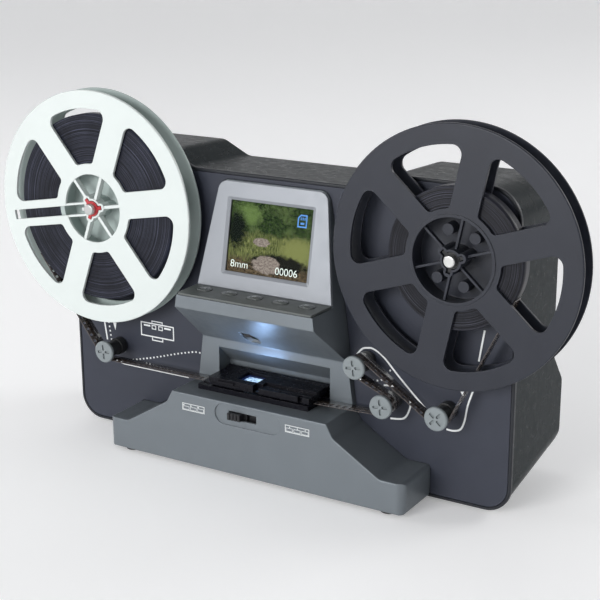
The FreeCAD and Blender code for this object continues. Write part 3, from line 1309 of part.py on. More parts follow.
# ---- Assembly ---------------------------------------------------------------------------
def make_nodes():
    """Every piece by the name of its node; a list is a group of separate solids."""
    nodes = {
        "front_frame": make_front_frame(),
        "front_plate": make_front_plate(),
        "rear_cover": make_rear_cover(),
        "screws": make_screws(),
        "base_housing": make_base_housing(),
        "base_bottom": make_base_bottom(),
        "rubber_feet": make_rubber_feet(),
        "format_knob": make_switch_knob(),
        "format_switch": make_switch_body(),
        "display_column": make_display_column(),
        "display_bezel": make_display_bezel(),
        "screen_window": make_screen_window(),
        "screen_panel": make_screen_panel(),
        "button_deck": make_button_deck(),
        "key_board": make_key_board(),
        "camera_module": make_camera_module(),
        "camera_lens": make_camera_lens(),
        "gate_bed": make_gate_bed(),
        "gate_door": make_gate_door(),
        "light_diffuser": make_light_diffuser(),
        "light_board": make_light_board(),
        "feed_bracket": make_feed_bracket(),
        "feed_pinion": make_feed_pinion(),
        "feed_cam": make_feed_cam(),
        "feed_claw": make_feed_claw(),
        "motors": make_motors(),
        "motor_brackets": [make_motor_bracket(-1), make_motor_bracket(1)],
        "spindle_bushes": make_bushes(),
        "steel_pins": make_steel_pins(),
        "roller_caps": make_roller_caps(),
        "film_strip": make_film_strip(),
        "main_board": make_main_board(),
        "jack_board": make_jack_board(),
        "card_socket": make_card_socket(),
        "memory_card": make_memory_card(),
        "usb_socket": make_usb_socket(),
        "dc_socket": make_dc_socket(),
    }
    for i in range(5):
        nodes["key_%d" % (i + 1)] = make_key(i)
    for i in range(4):
        nodes["roller_%d" % (i + 1)] = make_roller(i)
    return nodes


REELS = (
    ("supply", -1, SUPPLY_TURN, SUPPLY_PACK_RADIUS, True, ()),
    ("takeup", 1, TAKEUP_TURN, TAKEUP_PACK_RADIUS, False, (0, 1, 3, 4)),
)


def make_reel_nodes():
    nodes = {}
    for name, side, turn, pack_radius, threading_slot, pegs in REELS:
        x = side * REEL_X
        nodes[name + "_reel_front"] = make_reel_front(x, turn, threading_slot)
        nodes[name + "_reel_rear"] = make_reel_rear(x, turn, pegs)
        nodes[name + "_film_pack"] = make_film_pack(x, pack_radius)
        nodes[name + "_spindle"] = make_spindle(x)
        nodes[name + "_latch"] = make_latch(x, turn)
        nodes[name + "_gear"] = make_reel_gear(side)
        nodes[name + "_pinion"] = make_motor_pinion(side)
    return nodes


def main():
    os.makedirs("parts", exist_ok=True)
    nodes = make_nodes()
    nodes.update(make_reel_nodes())
    for name, shape in nodes.items():
        if isinstance(shape, list):
            shape = Part.makeCompound(shape)
        shape.exportStep("parts/%s.step" % name)


main()
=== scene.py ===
import json
import math
import random

import bpy
from mathutils import Matrix, Vector


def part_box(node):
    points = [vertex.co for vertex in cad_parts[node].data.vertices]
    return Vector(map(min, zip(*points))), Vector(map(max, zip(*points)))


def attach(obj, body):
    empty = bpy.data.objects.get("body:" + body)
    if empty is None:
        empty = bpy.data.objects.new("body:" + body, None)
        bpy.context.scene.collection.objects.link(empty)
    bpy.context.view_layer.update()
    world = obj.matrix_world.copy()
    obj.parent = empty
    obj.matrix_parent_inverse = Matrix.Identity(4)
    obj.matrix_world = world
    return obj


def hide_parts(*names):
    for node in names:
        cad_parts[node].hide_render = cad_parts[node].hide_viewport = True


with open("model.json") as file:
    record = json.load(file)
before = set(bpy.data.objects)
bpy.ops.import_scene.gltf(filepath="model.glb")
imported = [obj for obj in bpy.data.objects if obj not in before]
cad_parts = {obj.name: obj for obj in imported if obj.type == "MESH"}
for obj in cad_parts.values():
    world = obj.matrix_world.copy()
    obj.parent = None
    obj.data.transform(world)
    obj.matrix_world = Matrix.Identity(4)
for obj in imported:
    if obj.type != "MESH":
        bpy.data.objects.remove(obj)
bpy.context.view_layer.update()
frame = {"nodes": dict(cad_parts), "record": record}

# An 8 mm film scanner with two reels. The CAD nodes carry the shapes; this script gives
# them materials, and adds the film, the printing, the lit picture, the gate's window, the
# floor, the lights and the camera.

MM = 0.001
PANEL_Y = -18.5            # the front panel's face, from which depths are counted, in mm
PANEL_Z = 1.5              # the front panel's lower edge, from which heights are counted
rng = random.Random(8)


def spot(x, depth, height):
    """A place on the machine, from millimetres to the frame's metres."""
    return Vector((x, PANEL_Y + depth, PANEL_Z + height)) * MM


def centre_of(node):
    low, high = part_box(node)
    return (low + high) / 2


# ---- Camera -----------------------------------------------------------------------------
CAMERA_PLACE = (0.367, -0.595, 0.2945)
CAMERA_LENS = 82.9         # focal length in mm, on a sensor 36 mm wide
CAMERA_TURN = 31.43        # degrees to the left of straight at the panel
CAMERA_TILT = 16.6         # degrees down from level
CAMERA_ROLL = -0.26        # degrees

camera_data = bpy.data.cameras.new("camera")
camera_data.lens = CAMERA_LENS
camera_data.sensor_width = 36.0
camera_data.clip_start = 0.01
camera = bpy.data.objects.new("camera", camera_data)
bpy.context.scene.collection.objects.link(camera)
camera.matrix_world = (
    Matrix.Translation(CAMERA_PLACE)
    @ Matrix.Rotation(math.radians(CAMERA_TURN), 4, "Z")
    @ Matrix.Rotation(math.radians(90 - CAMERA_TILT), 4, "X")
    @ Matrix.Rotation(math.radians(CAMERA_ROLL), 4, "Z")
)
bpy.context.scene.camera = camera


# ---- Materials --------------------------------------------------------------------------
class Graph:
    """A material's node tree, with short calls for the nodes used here."""

    def __init__(self, name):
        self.material = bpy.data.materials.new(name)
        self.material.use_nodes = True
        self.tree = self.material.node_tree
        self.tree.nodes.clear()
        self.shader = self.add("ShaderNodeBsdfPrincipled")
        self.out = self.add("ShaderNodeOutputMaterial")
        self.link(self.shader.outputs[0], self.out.inputs["Surface"])
        self.place = self.add("ShaderNodeTexCoord").outputs["Object"]

    def add(self, kind, **settings):
        node = self.tree.nodes.new(kind)
        for key, value in settings.items():
            setattr(node, key, value)
        return node

    def link(self, source, target):
        self.tree.links.new(source, target)

    def feed(self, socket, value):
        if hasattr(value, "is_output"):
            self.link(value, socket)
        else:
            socket.default_value = value

    def scaled(self, factors, source=None):
        node = self.add("ShaderNodeMapping")
        self.link(source or self.place, node.inputs["Vector"])
        node.inputs["Scale"].default_value = factors
        return node.outputs[0]

    def noise(self, scale, detail=3.0, source=None, rough=0.55):
        node = self.add("ShaderNodeTexNoise")
        self.link(source or self.place, node.inputs["Vector"])
        node.inputs["Scale"].default_value = scale
        node.inputs["Detail"].default_value = detail
        node.inputs["Roughness"].default_value = rough
        return node.outputs["Fac"]

    def span(self, value, low, high, start=0.0, end=1.0):
        node = self.add("ShaderNodeMapRange")
        self.feed(node.inputs["Value"], value)
        node.inputs["From Min"].default_value = start
        node.inputs["From Max"].default_value = end
        node.inputs["To Min"].default_value = low
        node.inputs["To Max"].default_value = high
        return node.outputs["Result"]

    def maths(self, operation, first, second=0.5):
        node = self.add("ShaderNodeMath", operation=operation)
        self.feed(node.inputs[0], first)
        self.feed(node.inputs[1], second)
        return node.outputs[0]

    def mix(self, factor, first, second):
        node = self.add("ShaderNodeMix", data_type="RGBA")
        self.feed(node.inputs[0], factor)
        for socket, value in ((node.inputs[6], first), (node.inputs[7], second)):
            if isinstance(value, (tuple, list)):
                value = (*value[:3], 1.0)
            self.feed(socket, value)
        return node.outputs[2]

    def bump(self, height, strength, distance, normal=None):
        node = self.add("ShaderNodeBump")
        self.link(height, node.inputs["Height"])
        node.inputs["Strength"].default_value = strength
        node.inputs["Distance"].default_value = distance
        if normal is not None:
            self.link(normal, node.inputs["Normal"])
        return node.outputs[0]


ROUGH_RANGE = 0.06         # how far a finish's roughness strays either way
GRAIN_HEIGHT = 0.00012     # of the fine grain's bumps, in m
STREAK_HEIGHT = 0.0002     # of brushed or ribbed lines, in m


def finish(name, colour, rough, metal=0.0, coat=0.0, coat_rough=0.1, specular=0.5,
           grain=1800.0, depth=0.25, mottle=0.06, mottle_scale=55.0, edge=0.00035,
           edge_wear_and_highlight=0.25, streak=None):
    """A moulded, painted or metal surface: blotches, grain, rounded edges, and edges lightened
    partly as wear and partly as a painted edge highlight.
    """
    graph = Graph(name)
    shader = graph.shader
    shader.inputs["Metallic"].default_value = metal
    shader.inputs["Coat Weight"].default_value = coat
    shader.inputs["Coat Roughness"].default_value = coat_rough
    shader.inputs["Specular IOR Level"].default_value = specular
    dark = tuple(c * (1 - mottle * 2) for c in colour)
    light = tuple(min(1.0, c * (1 + mottle * 2)) for c in colour)
    blotches = graph.noise(mottle_scale, 4.0)
    tone = graph.mix(blotches, dark, light)
    if streak:
        lines = graph.noise(1.0, 2.0, graph.scaled(streak))
        tone = graph.mix(graph.span(lines, 0.0, 0.5, 0.35, 0.65), tone, light)
    rounded = graph.add("ShaderNodeBevel", samples=4)
    rounded.inputs["Radius"].default_value = edge
    # Edges are painted lighter: partly rubbed wear, partly a painted highlight along the rims.
    if edge_wear_and_highlight:
        facing = graph.add("ShaderNodeVectorMath", operation="DOT_PRODUCT")
        graph.link(rounded.outputs[0], facing.inputs[0])
        flat = graph.add("ShaderNodeNewGeometry").outputs["Normal"]
        graph.link(flat, facing.inputs[1])
        rim = graph.span(facing.outputs["Value"], edge_wear_and_highlight, 0.0, 0.82, 1.0)
        patches = graph.span(graph.noise(420.0), 0.1, 1.0, 0.35, 0.65)
        spread = graph.maths("MULTIPLY", rim, patches)
        tone = graph.mix(spread, tone, tuple(min(1.0, c * 1.6 + 0.06) for c in colour))
    graph.link(tone, shader.inputs["Base Color"])
    fine = graph.noise(grain, 2.0)
    graph.link(graph.span(graph.noise(mottle_scale * 4.0), rough - ROUGH_RANGE,
                          rough + ROUGH_RANGE, 0.3, 0.7), shader.inputs["Roughness"])
    normal = graph.bump(fine, depth, GRAIN_HEIGHT, rounded.outputs[0])
    if streak:
        normal = graph.bump(lines, 0.15, STREAK_HEIGHT, normal)
    graph.link(normal, shader.inputs["Normal"])
    return graph.material


CLEAR_IOR = 1.18           # lower than solid plastic's, so that the sheet reflects little


def clear_sheet(name, tint, gloss=0.08):
    """Thin clear plastic: what lies behind shows, with a soft reflection on top."""
    graph = Graph(name)
    seen_through = graph.add("ShaderNodeBsdfTransparent")
    seen_through.inputs["Color"].default_value = (*tint, 1.0)
    shine = graph.add("ShaderNodeBsdfGlossy")
    graph.link(graph.span(graph.noise(90.0), gloss * 0.6, gloss * 1.5), shine.inputs["Roughness"])
    fresnel = graph.add("ShaderNodeFresnel")
    fresnel.inputs["IOR"].default_value = CLEAR_IOR
    both = graph.add("ShaderNodeMixShader")
    graph.link(fresnel.outputs[0], both.inputs[0])
    graph.link(seen_through.outputs[0], both.inputs[1])
    graph.link(shine.outputs[0], both.inputs[2])
    graph.link(both.outputs[0], graph.out.inputs["Surface"])
    return graph.material


def glow(name, colour, strength, vary=0.15):
    """Milky plastic lit from behind."""
    graph = Graph(name)
    tone = graph.mix(graph.noise(260.0), tuple(c * (1 - vary) for c in colour), colour)
    graph.link(tone, graph.shader.inputs["Base Color"])
    graph.link(tone, graph.shader.inputs["Emission Color"])
    graph.shader.inputs["Emission Strength"].default_value = strength
    graph.shader.inputs["Roughness"].default_value = 0.35
    return graph.material


looks = {
    "silver": finish("silver_paint", (0.155, 0.175, 0.192), 0.40, metal=0.40, grain=3200.0,
                     depth=0.10, mottle=0.03, specular=0.35, edge_wear_and_highlight=0.6, edge=0.0006),
    "bezel": finish("pale_bezel", (0.255, 0.27, 0.295), 0.42, metal=0.25, grain=3600.0,
                    depth=0.08, mottle=0.02, edge_wear_and_highlight=0.2),
    "plate": finish("charcoal_plate", (0.027, 0.031, 0.046), 0.50, grain=1500.0, depth=0.32,
                    mottle=0.08, edge_wear_and_highlight=0.0, specular=0.35),
    "shell": finish("dark_shell", (0.006, 0.011, 0.013), 0.30, specular=0.05, grain=900.0,
                    depth=0.05, mottle=0.05, edge_wear_and_highlight=0.12, streak=(8.0, 700.0, 8.0)),
    "frame": finish("dark_frame", (0.012, 0.014, 0.019), 0.36, specular=0.35, grain=1400.0,
                    depth=0.12, mottle=0.08, edge_wear_and_highlight=0.3),
    "deck": finish("dark_deck", (0.085, 0.094, 0.092), 0.40, grain=2200.0, depth=0.10,
                   mottle=0.04, edge_wear_and_highlight=0.8),
    "key": finish("key_plastic", (0.080, 0.088, 0.088), 0.28, coat=0.3, grain=1400.0,
                  depth=0.05, edge_wear_and_highlight=0.8, edge=0.0006),
    "black": finish("black_plastic", (0.009, 0.009, 0.011), 0.33, specular=0.4, grain=1400.0,
                    depth=0.12, edge_wear_and_highlight=0.55),
    "gate": finish("gate_plastic", (0.005, 0.005, 0.008), 0.26, specular=0.16,
                   grain=1400.0, depth=0.06, edge_wear_and_highlight=1.0, edge=0.00025),
    "roller": finish("roller_black", (0.016, 0.017, 0.018), 0.38, grain=1600.0, depth=0.1,
                     edge_wear_and_highlight=0.4),
    "rubber": finish("rubber_black", (0.016, 0.016, 0.016), 0.72, grain=900.0, depth=0.4,
                     edge_wear_and_highlight=0.1),
    "cap": finish("cap_grey", (0.19, 0.215, 0.225), 0.42, grain=1700.0, depth=0.10, mottle=0.05,
                  edge_wear_and_highlight=0.5),
    "reel_white": finish("reel_white", (0.60, 0.645, 0.63), 0.36, coat=0.1, coat_rough=0.25,
                         specular=0.35, grain=1200.0, depth=0.08, mottle=0.02, edge_wear_and_highlight=0.15,
                         edge=0.0005),
    # The white reel plastic again, painted darker: painted shade for the rear moulding that lies
    # in shadow.
    "reel_white_painted_shade": finish("reel_white_painted_shade", (0.36, 0.42, 0.405), 0.40, specular=0.35,
                         grain=1200.0, depth=0.08, mottle=0.03, edge_wear_and_highlight=0.1, edge=0.0005),
    "reel_dark": finish("reel_dark", (0.0175, 0.0200, 0.0290), 0.38, specular=0.32,
                        grain=1500.0, depth=0.35, mottle=0.09, edge_wear_and_highlight=0.7, edge=0.0005),
    "latch_red": finish("latch_red", (0.42, 0.016, 0.022), 0.32, coat=0.3, depth=0.05,
                        edge_wear_and_highlight=0.2),
    "steel": finish("bright_steel", (0.52, 0.52, 0.51), 0.34, metal=1.0, depth=0.05,
                    mottle=0.04, edge_wear_and_highlight=0.1),
    "sheet": finish("sheet_steel", (0.50, 0.50, 0.50), 0.34, metal=1.0, depth=0.10,
                    streak=(500.0, 30.0, 30.0)),
    "motor": finish("motor_can", (0.46, 0.46, 0.47), 0.28, metal=1.0, depth=0.05,
                    streak=(30.0, 600.0, 30.0)),
    "bronze": finish("bronze", (0.52, 0.30, 0.12), 0.40, metal=1.0, grain=2600.0, depth=0.3),
    "board": finish("circuit_board", (0.012, 0.105, 0.040), 0.38, coat=0.3, mottle=0.15,
                    mottle_scale=260.0),
    "acetal": finish("acetal", (0.70, 0.68, 0.60), 0.42, mottle=0.03, depth=0.08),
    "card": finish("card_blue", (0.016, 0.024, 0.09), 0.40, depth=0.12),
    "lens": finish("coated_lens", (0.03, 0.03, 0.07), 0.05, coat=1.0, coat_rough=0.02,
                   depth=0.0, edge_wear_and_highlight=0.0),
    "clear": clear_sheet("clear_cover", (0.93, 0.95, 0.96)),
    "lamp": glow("lit_diffuser", (0.55, 0.78, 1.0), 9.0),
}
by_slot = {
    "silver_paint": "silver", "charcoal": "plate", "dark_shell": "shell",
    "pale_bezel": "bezel", "dark_deck": "deck", "key_plastic": "key",
    "rubber_black": "rubber", "clear_cover": "clear", "screen": "black", "steel": "steel",
    "sheet_steel": "sheet", "motor_can": "motor", "bronze": "bronze", "board": "board",
    "acetal": "acetal", "black_plastic": "black", "cap_grey": "cap",
    "reel_white": "reel_white", "reel_dark": "reel_dark", "latch_red": "latch_red",
    "film": "black", "film_wound": "black", "lens": "lens", "diffuser": "lamp",
    "card": "card",
}
# supply_reel_rear takes the white reel plastic with painted shade.
own_look = {"front_frame": "frame", "gate_bed": "gate", "gate_door": "gate",
            "supply_reel_rear": "reel_white_painted_shade"}
own_look.update({f"roller_{i + 1}": "roller" for i in range(4)})

slot_of = {part["node"]: part["material_slot"] for part in frame["record"]["subparts"]}
for name, thing in frame["nodes"].items():
    look = own_look.get(name) or by_slot[slot_of[name]]
    for place in thing.material_slots:
        place.material = looks[look]


# ---- Mesh helpers -----------------------------------------------------------------------
def piece(name, mesh, look, body, smooth=False):
    """A new visible object that rides on a body and takes a finish."""
    thing = bpy.data.objects.new(name, mesh)
    bpy.context.scene.collection.objects.link(thing)
    mesh.materials.append(look if isinstance(look, bpy.types.Material) else looks[look])
    for face in mesh.polygons:
        face.use_smooth = smooth
    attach(thing, body)
    return thing


def mesh_of(name, points, faces):
    mesh = bpy.data.meshes.new(name)
    mesh.from_pydata([tuple(p) for p in points], [], faces)
    mesh.update()
    return mesh


# ---- Film between the packs -------------------------------------------------------------
# Lengths in mm.
FILM_HALF = 0.15           # half of the thickness that the route is laid out with
FILM_SKIN = 0.16           # thickness of the visible ribbon
FILM_GAP = 0.3             # kept between the film and what it goes round
EDGE_GAP = 0.02            # kept inside the CAD strip at each edge
GATE_BEND = 12.0           # radius of the bend where the film leaves the gate
GATE_BEND_X = 36.0
PITCH = 3.81               # one frame and one perforation
STEPS = 6                  # cells of the ribbon in one frame
HOLE_STEPS = 2             # cells that one perforation takes
HOLE_START = 0.9           # from the front edge to a perforation
HOLE_WIDTH = 1.83
PICTURE_SHIFT = 0.33       # from a perforation to the frame it belongs to, in frames
PICTURE_ALONG = (0.06, 0.94)    # a picture's ends, as shares of its frame
PICTURE_ACROSS = (0.36, 0.95)   # a picture's sides, as shares of the film's width


def film_guides():
    """What the film goes round, in order, in mm: centre, radius and direction of turn."""
    def centre(node):
        middle = centre_of(node) * 1000
        return middle.x, middle.z

    def radius(node):
        low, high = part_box(node)
        return (high.x - low.x) * 500

    gap = FILM_GAP + FILM_HALF
    wrap = radius("roller_1") + gap
    gate_height = centre("roller_1")[1] - wrap
    return [
        (centre("supply_film_pack"), radius("supply_film_pack") + gap, 1),
        (centre("roller_1"), wrap, 1),
        ((GATE_BEND_X, gate_height + GATE_BEND), GATE_BEND, 1),
        (centre("roller_3"), wrap, 1),
        (centre("roller_2"), wrap, -1),
        (centre("roller_4"), wrap, 1),
        (centre("takeup_film_pack"), radius("takeup_film_pack") + gap, 1),
    ]


def common_tangent(first, second):
    """Where the film leaves one guide and reaches the next: points and angles."""
    (x1, z1), radius1, turn1 = first
    (x2, z2), radius2, turn2 = second
    gap = math.hypot(x2 - x1, z2 - z1)
    heading = math.atan2(z2 - z1, x2 - x1)
    direction = heading - math.asin((turn2 * radius2 - turn1 * radius1) / gap)
    leave = direction - turn1 * math.pi / 2
    reach = direction - turn2 * math.pi / 2
    start = (x1 + radius1 * math.cos(leave), z1 + radius1 * math.sin(leave), leave)
    end = (x2 + radius2 * math.cos(reach), z2 + radius2 * math.sin(reach), reach)
    return start, end


def film_route(step):
    """Points and headings along the film's middle layer, evenly spaced, in mm."""
    guides = film_guides()
    spans = [common_tangent(guides[i], guides[i + 1]) for i in range(len(guides) - 1)]
    pieces = []
    for i, (start, end) in enumerate(spans):
        if i:
            centre, radius, turn = guides[i]
            before = spans[i - 1][1][2]
            sweep = turn * ((turn * (start[2] - before)) % (2 * math.pi))
            pieces.append(("arc", abs(sweep) * radius, centre, radius, before, sweep))
        pieces.append(("run", math.hypot(end[0] - start[0], end[1] - start[1]), start, end))
    total = sum(part[1] for part in pieces)
    route = []
    for k in range(int(total / step) + 1):
        left = k * step
        for part in pieces:
            if left <= part[1]:
                break
            left -= part[1]
        share = left / part[1]
        if part[0] == "run":
            start, end = part[2], part[3]
            x = start[0] + (end[0] - start[0]) * share
            z = start[1] + (end[1] - start[1]) * share
            heading = math.atan2(end[1] - start[1], end[0] - start[0])
        else:
            centre, radius, before, sweep = part[2:]
            angle = before + sweep * share
            x = centre[0] + radius * math.cos(angle)
            z = centre[1] + radius * math.sin(angle)
            heading = angle + math.copysign(math.pi / 2, sweep)
        route.append((x, z, heading))
    return route


def make_film():
    """Ribbon with its row of perforations near the front edge."""
    low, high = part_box("film_strip")
    front = low.y * 1000 + EDGE_GAP
    width = (high.y - low.y) * 1000 - 2 * EDGE_GAP
    # The edges of the ribbon's cells. The second cell is left open at each perforation.
    across = [0.0, HOLE_START, HOLE_START + HOLE_WIDTH, width / 2 + 0.6, width]
    route = film_route(PITCH / STEPS)
    points = []
    for x, z, _ in route:
        points += [Vector((x, front + a, z)) * MM for a in across]
    columns = len(across)
    faces = []
    frames = []
    for k in range(len(route) - 1):
        for c in range(columns - 1):
            if c == 1 and k % STEPS < HOLE_STEPS:
                continue
            a = k * columns + c
            faces.append((a, a + 1, a + columns + 1, a + columns))
            frames.append((k, c))
    mesh = mesh_of("film_ribbon", points, faces)
    layer = mesh.uv_layers.new(name="frames")
    for face, (k, c) in zip(mesh.polygons, frames):
        corners = ((k, c), (k, c + 1), (k + 1, c + 1), (k + 1, c))
        for loop, (row, column) in zip(face.loop_indices, corners):
            layer.data[loop].uv = (row / STEPS, across[column] / width)
    ribbon = piece("film_ribbon", mesh, film_look(), "housing", smooth=True)
    thicken = ribbon.modifiers.new("skin", "SOLIDIFY")
    thicken.thickness = FILM_SKIN * MM
    thicken.offset = 0.0
    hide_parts("film_strip")


def lit_through(graph, clouds):
    """The lamp's light seen through the film, only where the film lies over the lamp."""
    low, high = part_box("light_diffuser")
    above, spread, fade = 0.002, 0.0012, 0.0006
    split = graph.add("ShaderNodeSeparateXYZ")
    graph.link(graph.place, split.inputs[0])
    inside = graph.maths("LESS_THAN", split.outputs[2], high.z + above)
    for axis in (0, 1):
        middle = (low[axis] + high[axis]) / 2
        half = (high[axis] - low[axis]) / 2 + spread
        away = graph.maths("ABSOLUTE", graph.maths("SUBTRACT", split.outputs[axis], middle))
        inside = graph.maths("MULTIPLY", inside, graph.span(away, 1.0, 0.0, half - fade, half))
    shade = graph.mix(graph.span(clouds, 0.0, 1.0, 0.42, 0.60), (0.02, 0.05, 0.16),
                      (0.45, 0.68, 1.0))
    return graph.mix(inside, (0.0, 0.0, 0.0), shade)


def film_look():
    """Developed film: a glossy brown base with darker pictures, one in each frame."""
    graph = Graph("film_base")
    uv = graph.add("ShaderNodeUVMap", uv_map="frames").outputs[0]
    split = graph.add("ShaderNodeSeparateXYZ")
    graph.link(uv, split.inputs[0])
    along = graph.maths("FRACT", graph.maths("ADD", split.outputs[0], PICTURE_SHIFT))
    spans = []
    for share, (start, end) in ((along, PICTURE_ALONG), (split.outputs[1], PICTURE_ACROSS)):
        spans.append(graph.maths("MULTIPLY", graph.maths("GREATER_THAN", share, start),
                                 graph.maths("LESS_THAN", share, end)))
    picture = graph.maths("MULTIPLY", *spans)
    clouds = graph.noise(700.0, 4.0)
    shade = graph.mix(clouds, (0.012, 0.009, 0.008), (0.055, 0.040, 0.030))
    tone = graph.mix(picture, (0.105, 0.090, 0.085), shade)
    graph.link(tone, graph.shader.inputs["Base Color"])
    graph.link(lit_through(graph, clouds), graph.shader.inputs["Emission Color"])
    graph.shader.inputs["Emission Strength"].default_value = 1.4
    graph.link(graph.span(graph.noise(240.0), 0.14, 0.26), graph.shader.inputs["Roughness"])
    graph.shader.inputs["Coat Weight"].default_value = 0.6
    graph.shader.inputs["Coat Roughness"].default_value = 0.08
    graph.link(graph.bump(graph.noise(160.0), 0.12, 0.0003), graph.shader.inputs["Normal"])
    return graph.material


# ---- Film wound on the reels ------------------------------------------------------------
# Lengths in m.
WINDING_BORE = 0.0239      # radius of the innermost turn
WINDING_GAP = 0.00012      # between the turns and the CAD pack's two faces
RIDGE = 0.00011            # how much lower every other ring lies
UNEVEN = 0.00012           # the most that a ring strays inwards
ROUNDED = 0.0002           # how much lower the first and last rings lie


def winding_look(name, tone):
    """Edges of the wound film, laid in rings, with painted highlights as a few paler rings."""
    graph = Graph(name)
    split = graph.add("ShaderNodeSeparateXYZ")
    graph.link(graph.add("ShaderNodeUVMap", uv_map="turns").outputs[0], split.inputs[0])
    rings = graph.add("ShaderNodeTexNoise", noise_dimensions="1D")
    graph.link(split.outputs[1], rings.inputs["W"])
    rings.inputs["Scale"].default_value = 1.7
    rings.inputs["Detail"].default_value = 5.0
    rings.inputs["Roughness"].default_value = 0.75
    # Painted highlight: the paler rings stand for the bright ring-shaped sheen on the wound
    # film's edges.
    pale = tuple(c * 13.0 for c in tone)
    colour = graph.mix(graph.span(rings.outputs["Fac"], 0.0, 1.0, 0.47, 0.66), tone, pale)
    colour = graph.mix(graph.span(graph.noise(60.0), 0.0, 0.8, 0.35, 0.7), colour, tone)
    graph.link(colour, graph.shader.inputs["Base Color"])
    graph.link(graph.span(rings.outputs["Fac"], 0.22, 0.46), graph.shader.inputs["Roughness"])
    graph.shader.inputs["Specular IOR Level"].default_value = 0.16
    graph.link(graph.bump(graph.noise(900.0), 0.15, 0.0001), graph.shader.inputs["Normal"])
    return graph.material


def make_winding(name, body, tone, segments=144, turn_gap=0.27):
    """The wound film as a lathed ring whose two faces show every few turns as a ridge."""
    node = name + "_film_pack"
    low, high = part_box(node)
    centre = (low + high) / 2
    outer = (high.x - low.x) / 2
    inner = WINDING_BORE
    half = (high.y - low.y) / 2 - WINDING_GAP
    count = int((outer - inner) / (turn_gap * MM))
    profile = []
    for side in (-1, 1):
        ring = []
        for i in range(count + 1):
            radius = inner + (outer - inner) * i / count
            dip = rng.uniform(0.0, UNEVEN) if 0 < i < count else ROUNDED
            if i % 2:
                dip += RIDGE
            ring.append((radius, side * (half - dip)))
        profile += ring if side < 0 else ring[::-1]
    points = []
    faces = []
    rows = len(profile)
    for s in range(segments):
        angle = 2 * math.pi * s / segments
        for radius, offset in profile:
            points.append(centre + Vector((radius * math.cos(angle), offset,
                                           radius * math.sin(angle))))
        for r in range(rows):
            a = s * rows + r
            b = s * rows + (r + 1) % rows
            c = (s + 1) % segments * rows
            faces.append((a, b, c + (r + 1) % rows, c + r))
    mesh = mesh_of(node + "_turns", points, faces)
    layer = mesh.uv_layers.new(name="turns")
    for face in mesh.polygons:
        for loop in face.loop_indices:
            vertex = mesh.loops[loop].vertex_index
            offset = mesh.vertices[vertex].co - centre
            reach = math.hypot(offset.x, offset.z) * 1000
            layer.data[loop].uv = (vertex // rows / segments, reach)
    look = winding_look(name + "_winding", tone)
    winding = piece(name + "_winding", mesh, look, body, smooth=True)
    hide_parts(node)


# ---- Printing ---------------------------------------------------------------------------
# Lengths in mm.
INK_LIFT = 0.05            # how far the ink stands above the surface
LINE = 0.95                # width of a printed line
THIN = 0.6                 # width of a thin one
DOT = 0.95
DOT_GAP = 2.5
PLATE_DEPTH = 0.2          # the printed plate's face, from the front panel's face
BASE_DEPTH = -29.1         # the base's front face, from the front panel's face


def on_plate(x, height):
    return spot(x, PLATE_DEPTH - INK_LIFT, height)


def on_base(x, height):
    return spot(x, BASE_DEPTH - INK_LIFT, height)


class Print:
    """Collects flat printed shapes on one surface and makes one thin piece of them."""

    def __init__(self, place):
        self.place = place
        self.points = []
        self.faces = []

    def polygon(self, corners):
        first = len(self.points)
        self.points += [self.place(x, height) for x, height in corners]
        self.faces.append(tuple(range(first, len(self.points))))

    def line(self, corners, width=LINE, closed=False):
        """A run of straight strokes, mitred where they meet."""
        count = len(corners)
        sides = []
        for i in range(count):
            before = corners[i - 1] if i or closed else None
            after = corners[(i + 1) % count] if i < count - 1 or closed else None
            here = Vector(corners[i])
            arrive = (here - Vector(before)).normalized() if before else None
            depart = (Vector(after) - here).normalized() if after else None
            arrive = arrive or depart
            depart = depart or arrive
            along = (arrive + depart).normalized()
            across = Vector((-along.y, along.x)) * (width / 2 / max(0.5, along.dot(arrive)))
            sides.append((here + across, here - across))
        first = len(self.points)
        for left, right in sides:
            self.points += [self.place(*left), self.place(*right)]
        for i in range(count if closed else count - 1):
            a = first + 2 * i
            b = first + 2 * ((i + 1) % count)
            self.faces.append((a, a + 1, b + 1, b))

    def dots(self, corners, size=DOT, gap=DOT_GAP):
        """Square dots, evenly spaced along a run."""
        half = size / 2
        left = 0.0
        for (x0, z0), (x1, z1) in zip(corners, corners[1:]):
            length = math.hypot(x1 - x0, z1 - z0)
            ux, uz = (x1 - x0) / length, (z1 - z0) / length
            while left < length:
                x, z = x0 + ux * left, z0 + uz * left
                self.polygon([(x + ux * a - uz * b, z + uz * a + ux * b)
                              for a, b in ((-half, -half), (half, -half), (half, half),
                                           (-half, half))])
                left += gap
            left -= length

    def make(self, name, body, look):
        mesh = mesh_of(name, self.points, self.faces)
        made = piece(name, mesh, look, body)
        ink = made.modifiers.new("ink", "SOLIDIFY")
        ink.thickness = INK_LIFT * MM
        ink.offset = 0.0


def curve(points, parts=6):
    """A smooth run through the points (Catmull-Rom)."""
    smooth = []
    padded = [points[0]] + list(points) + [points[-1]]
    for i in range(1, len(padded) - 2):
        p0, p1, p2, p3 = [Vector(p) for p in padded[i - 1:i + 3]]
        for k in range(parts):
            t = k / parts
            smooth.append(tuple(0.5 * (2 * p1 + (p2 - p0) * t
                                       + (2 * p0 - 5 * p1 + 4 * p2 - p3) * t * t
                                       + (3 * p1 - p0 - 3 * p2 + p3) * t * t * t)))
    smooth.append(tuple(points[-1]))
    return smooth


ink_white = finish("ink_white", (0.78, 0.80, 0.80), 0.45, depth=0.1, mottle=0.05, edge_wear_and_highlight=0.0)
ink_grey = finish("ink_grey", (0.42, 0.44, 0.45), 0.45, depth=0.1, mottle=0.06, edge_wear_and_highlight=0.0)


def outline(x, y, width, height):
    """The corners of a rectangle about its middle."""
    return [(x - width / 2, y + height / 2), (x + width / 2, y + height / 2),
            (x + width / 2, y - height / 2), (x - width / 2, y - height / 2)]


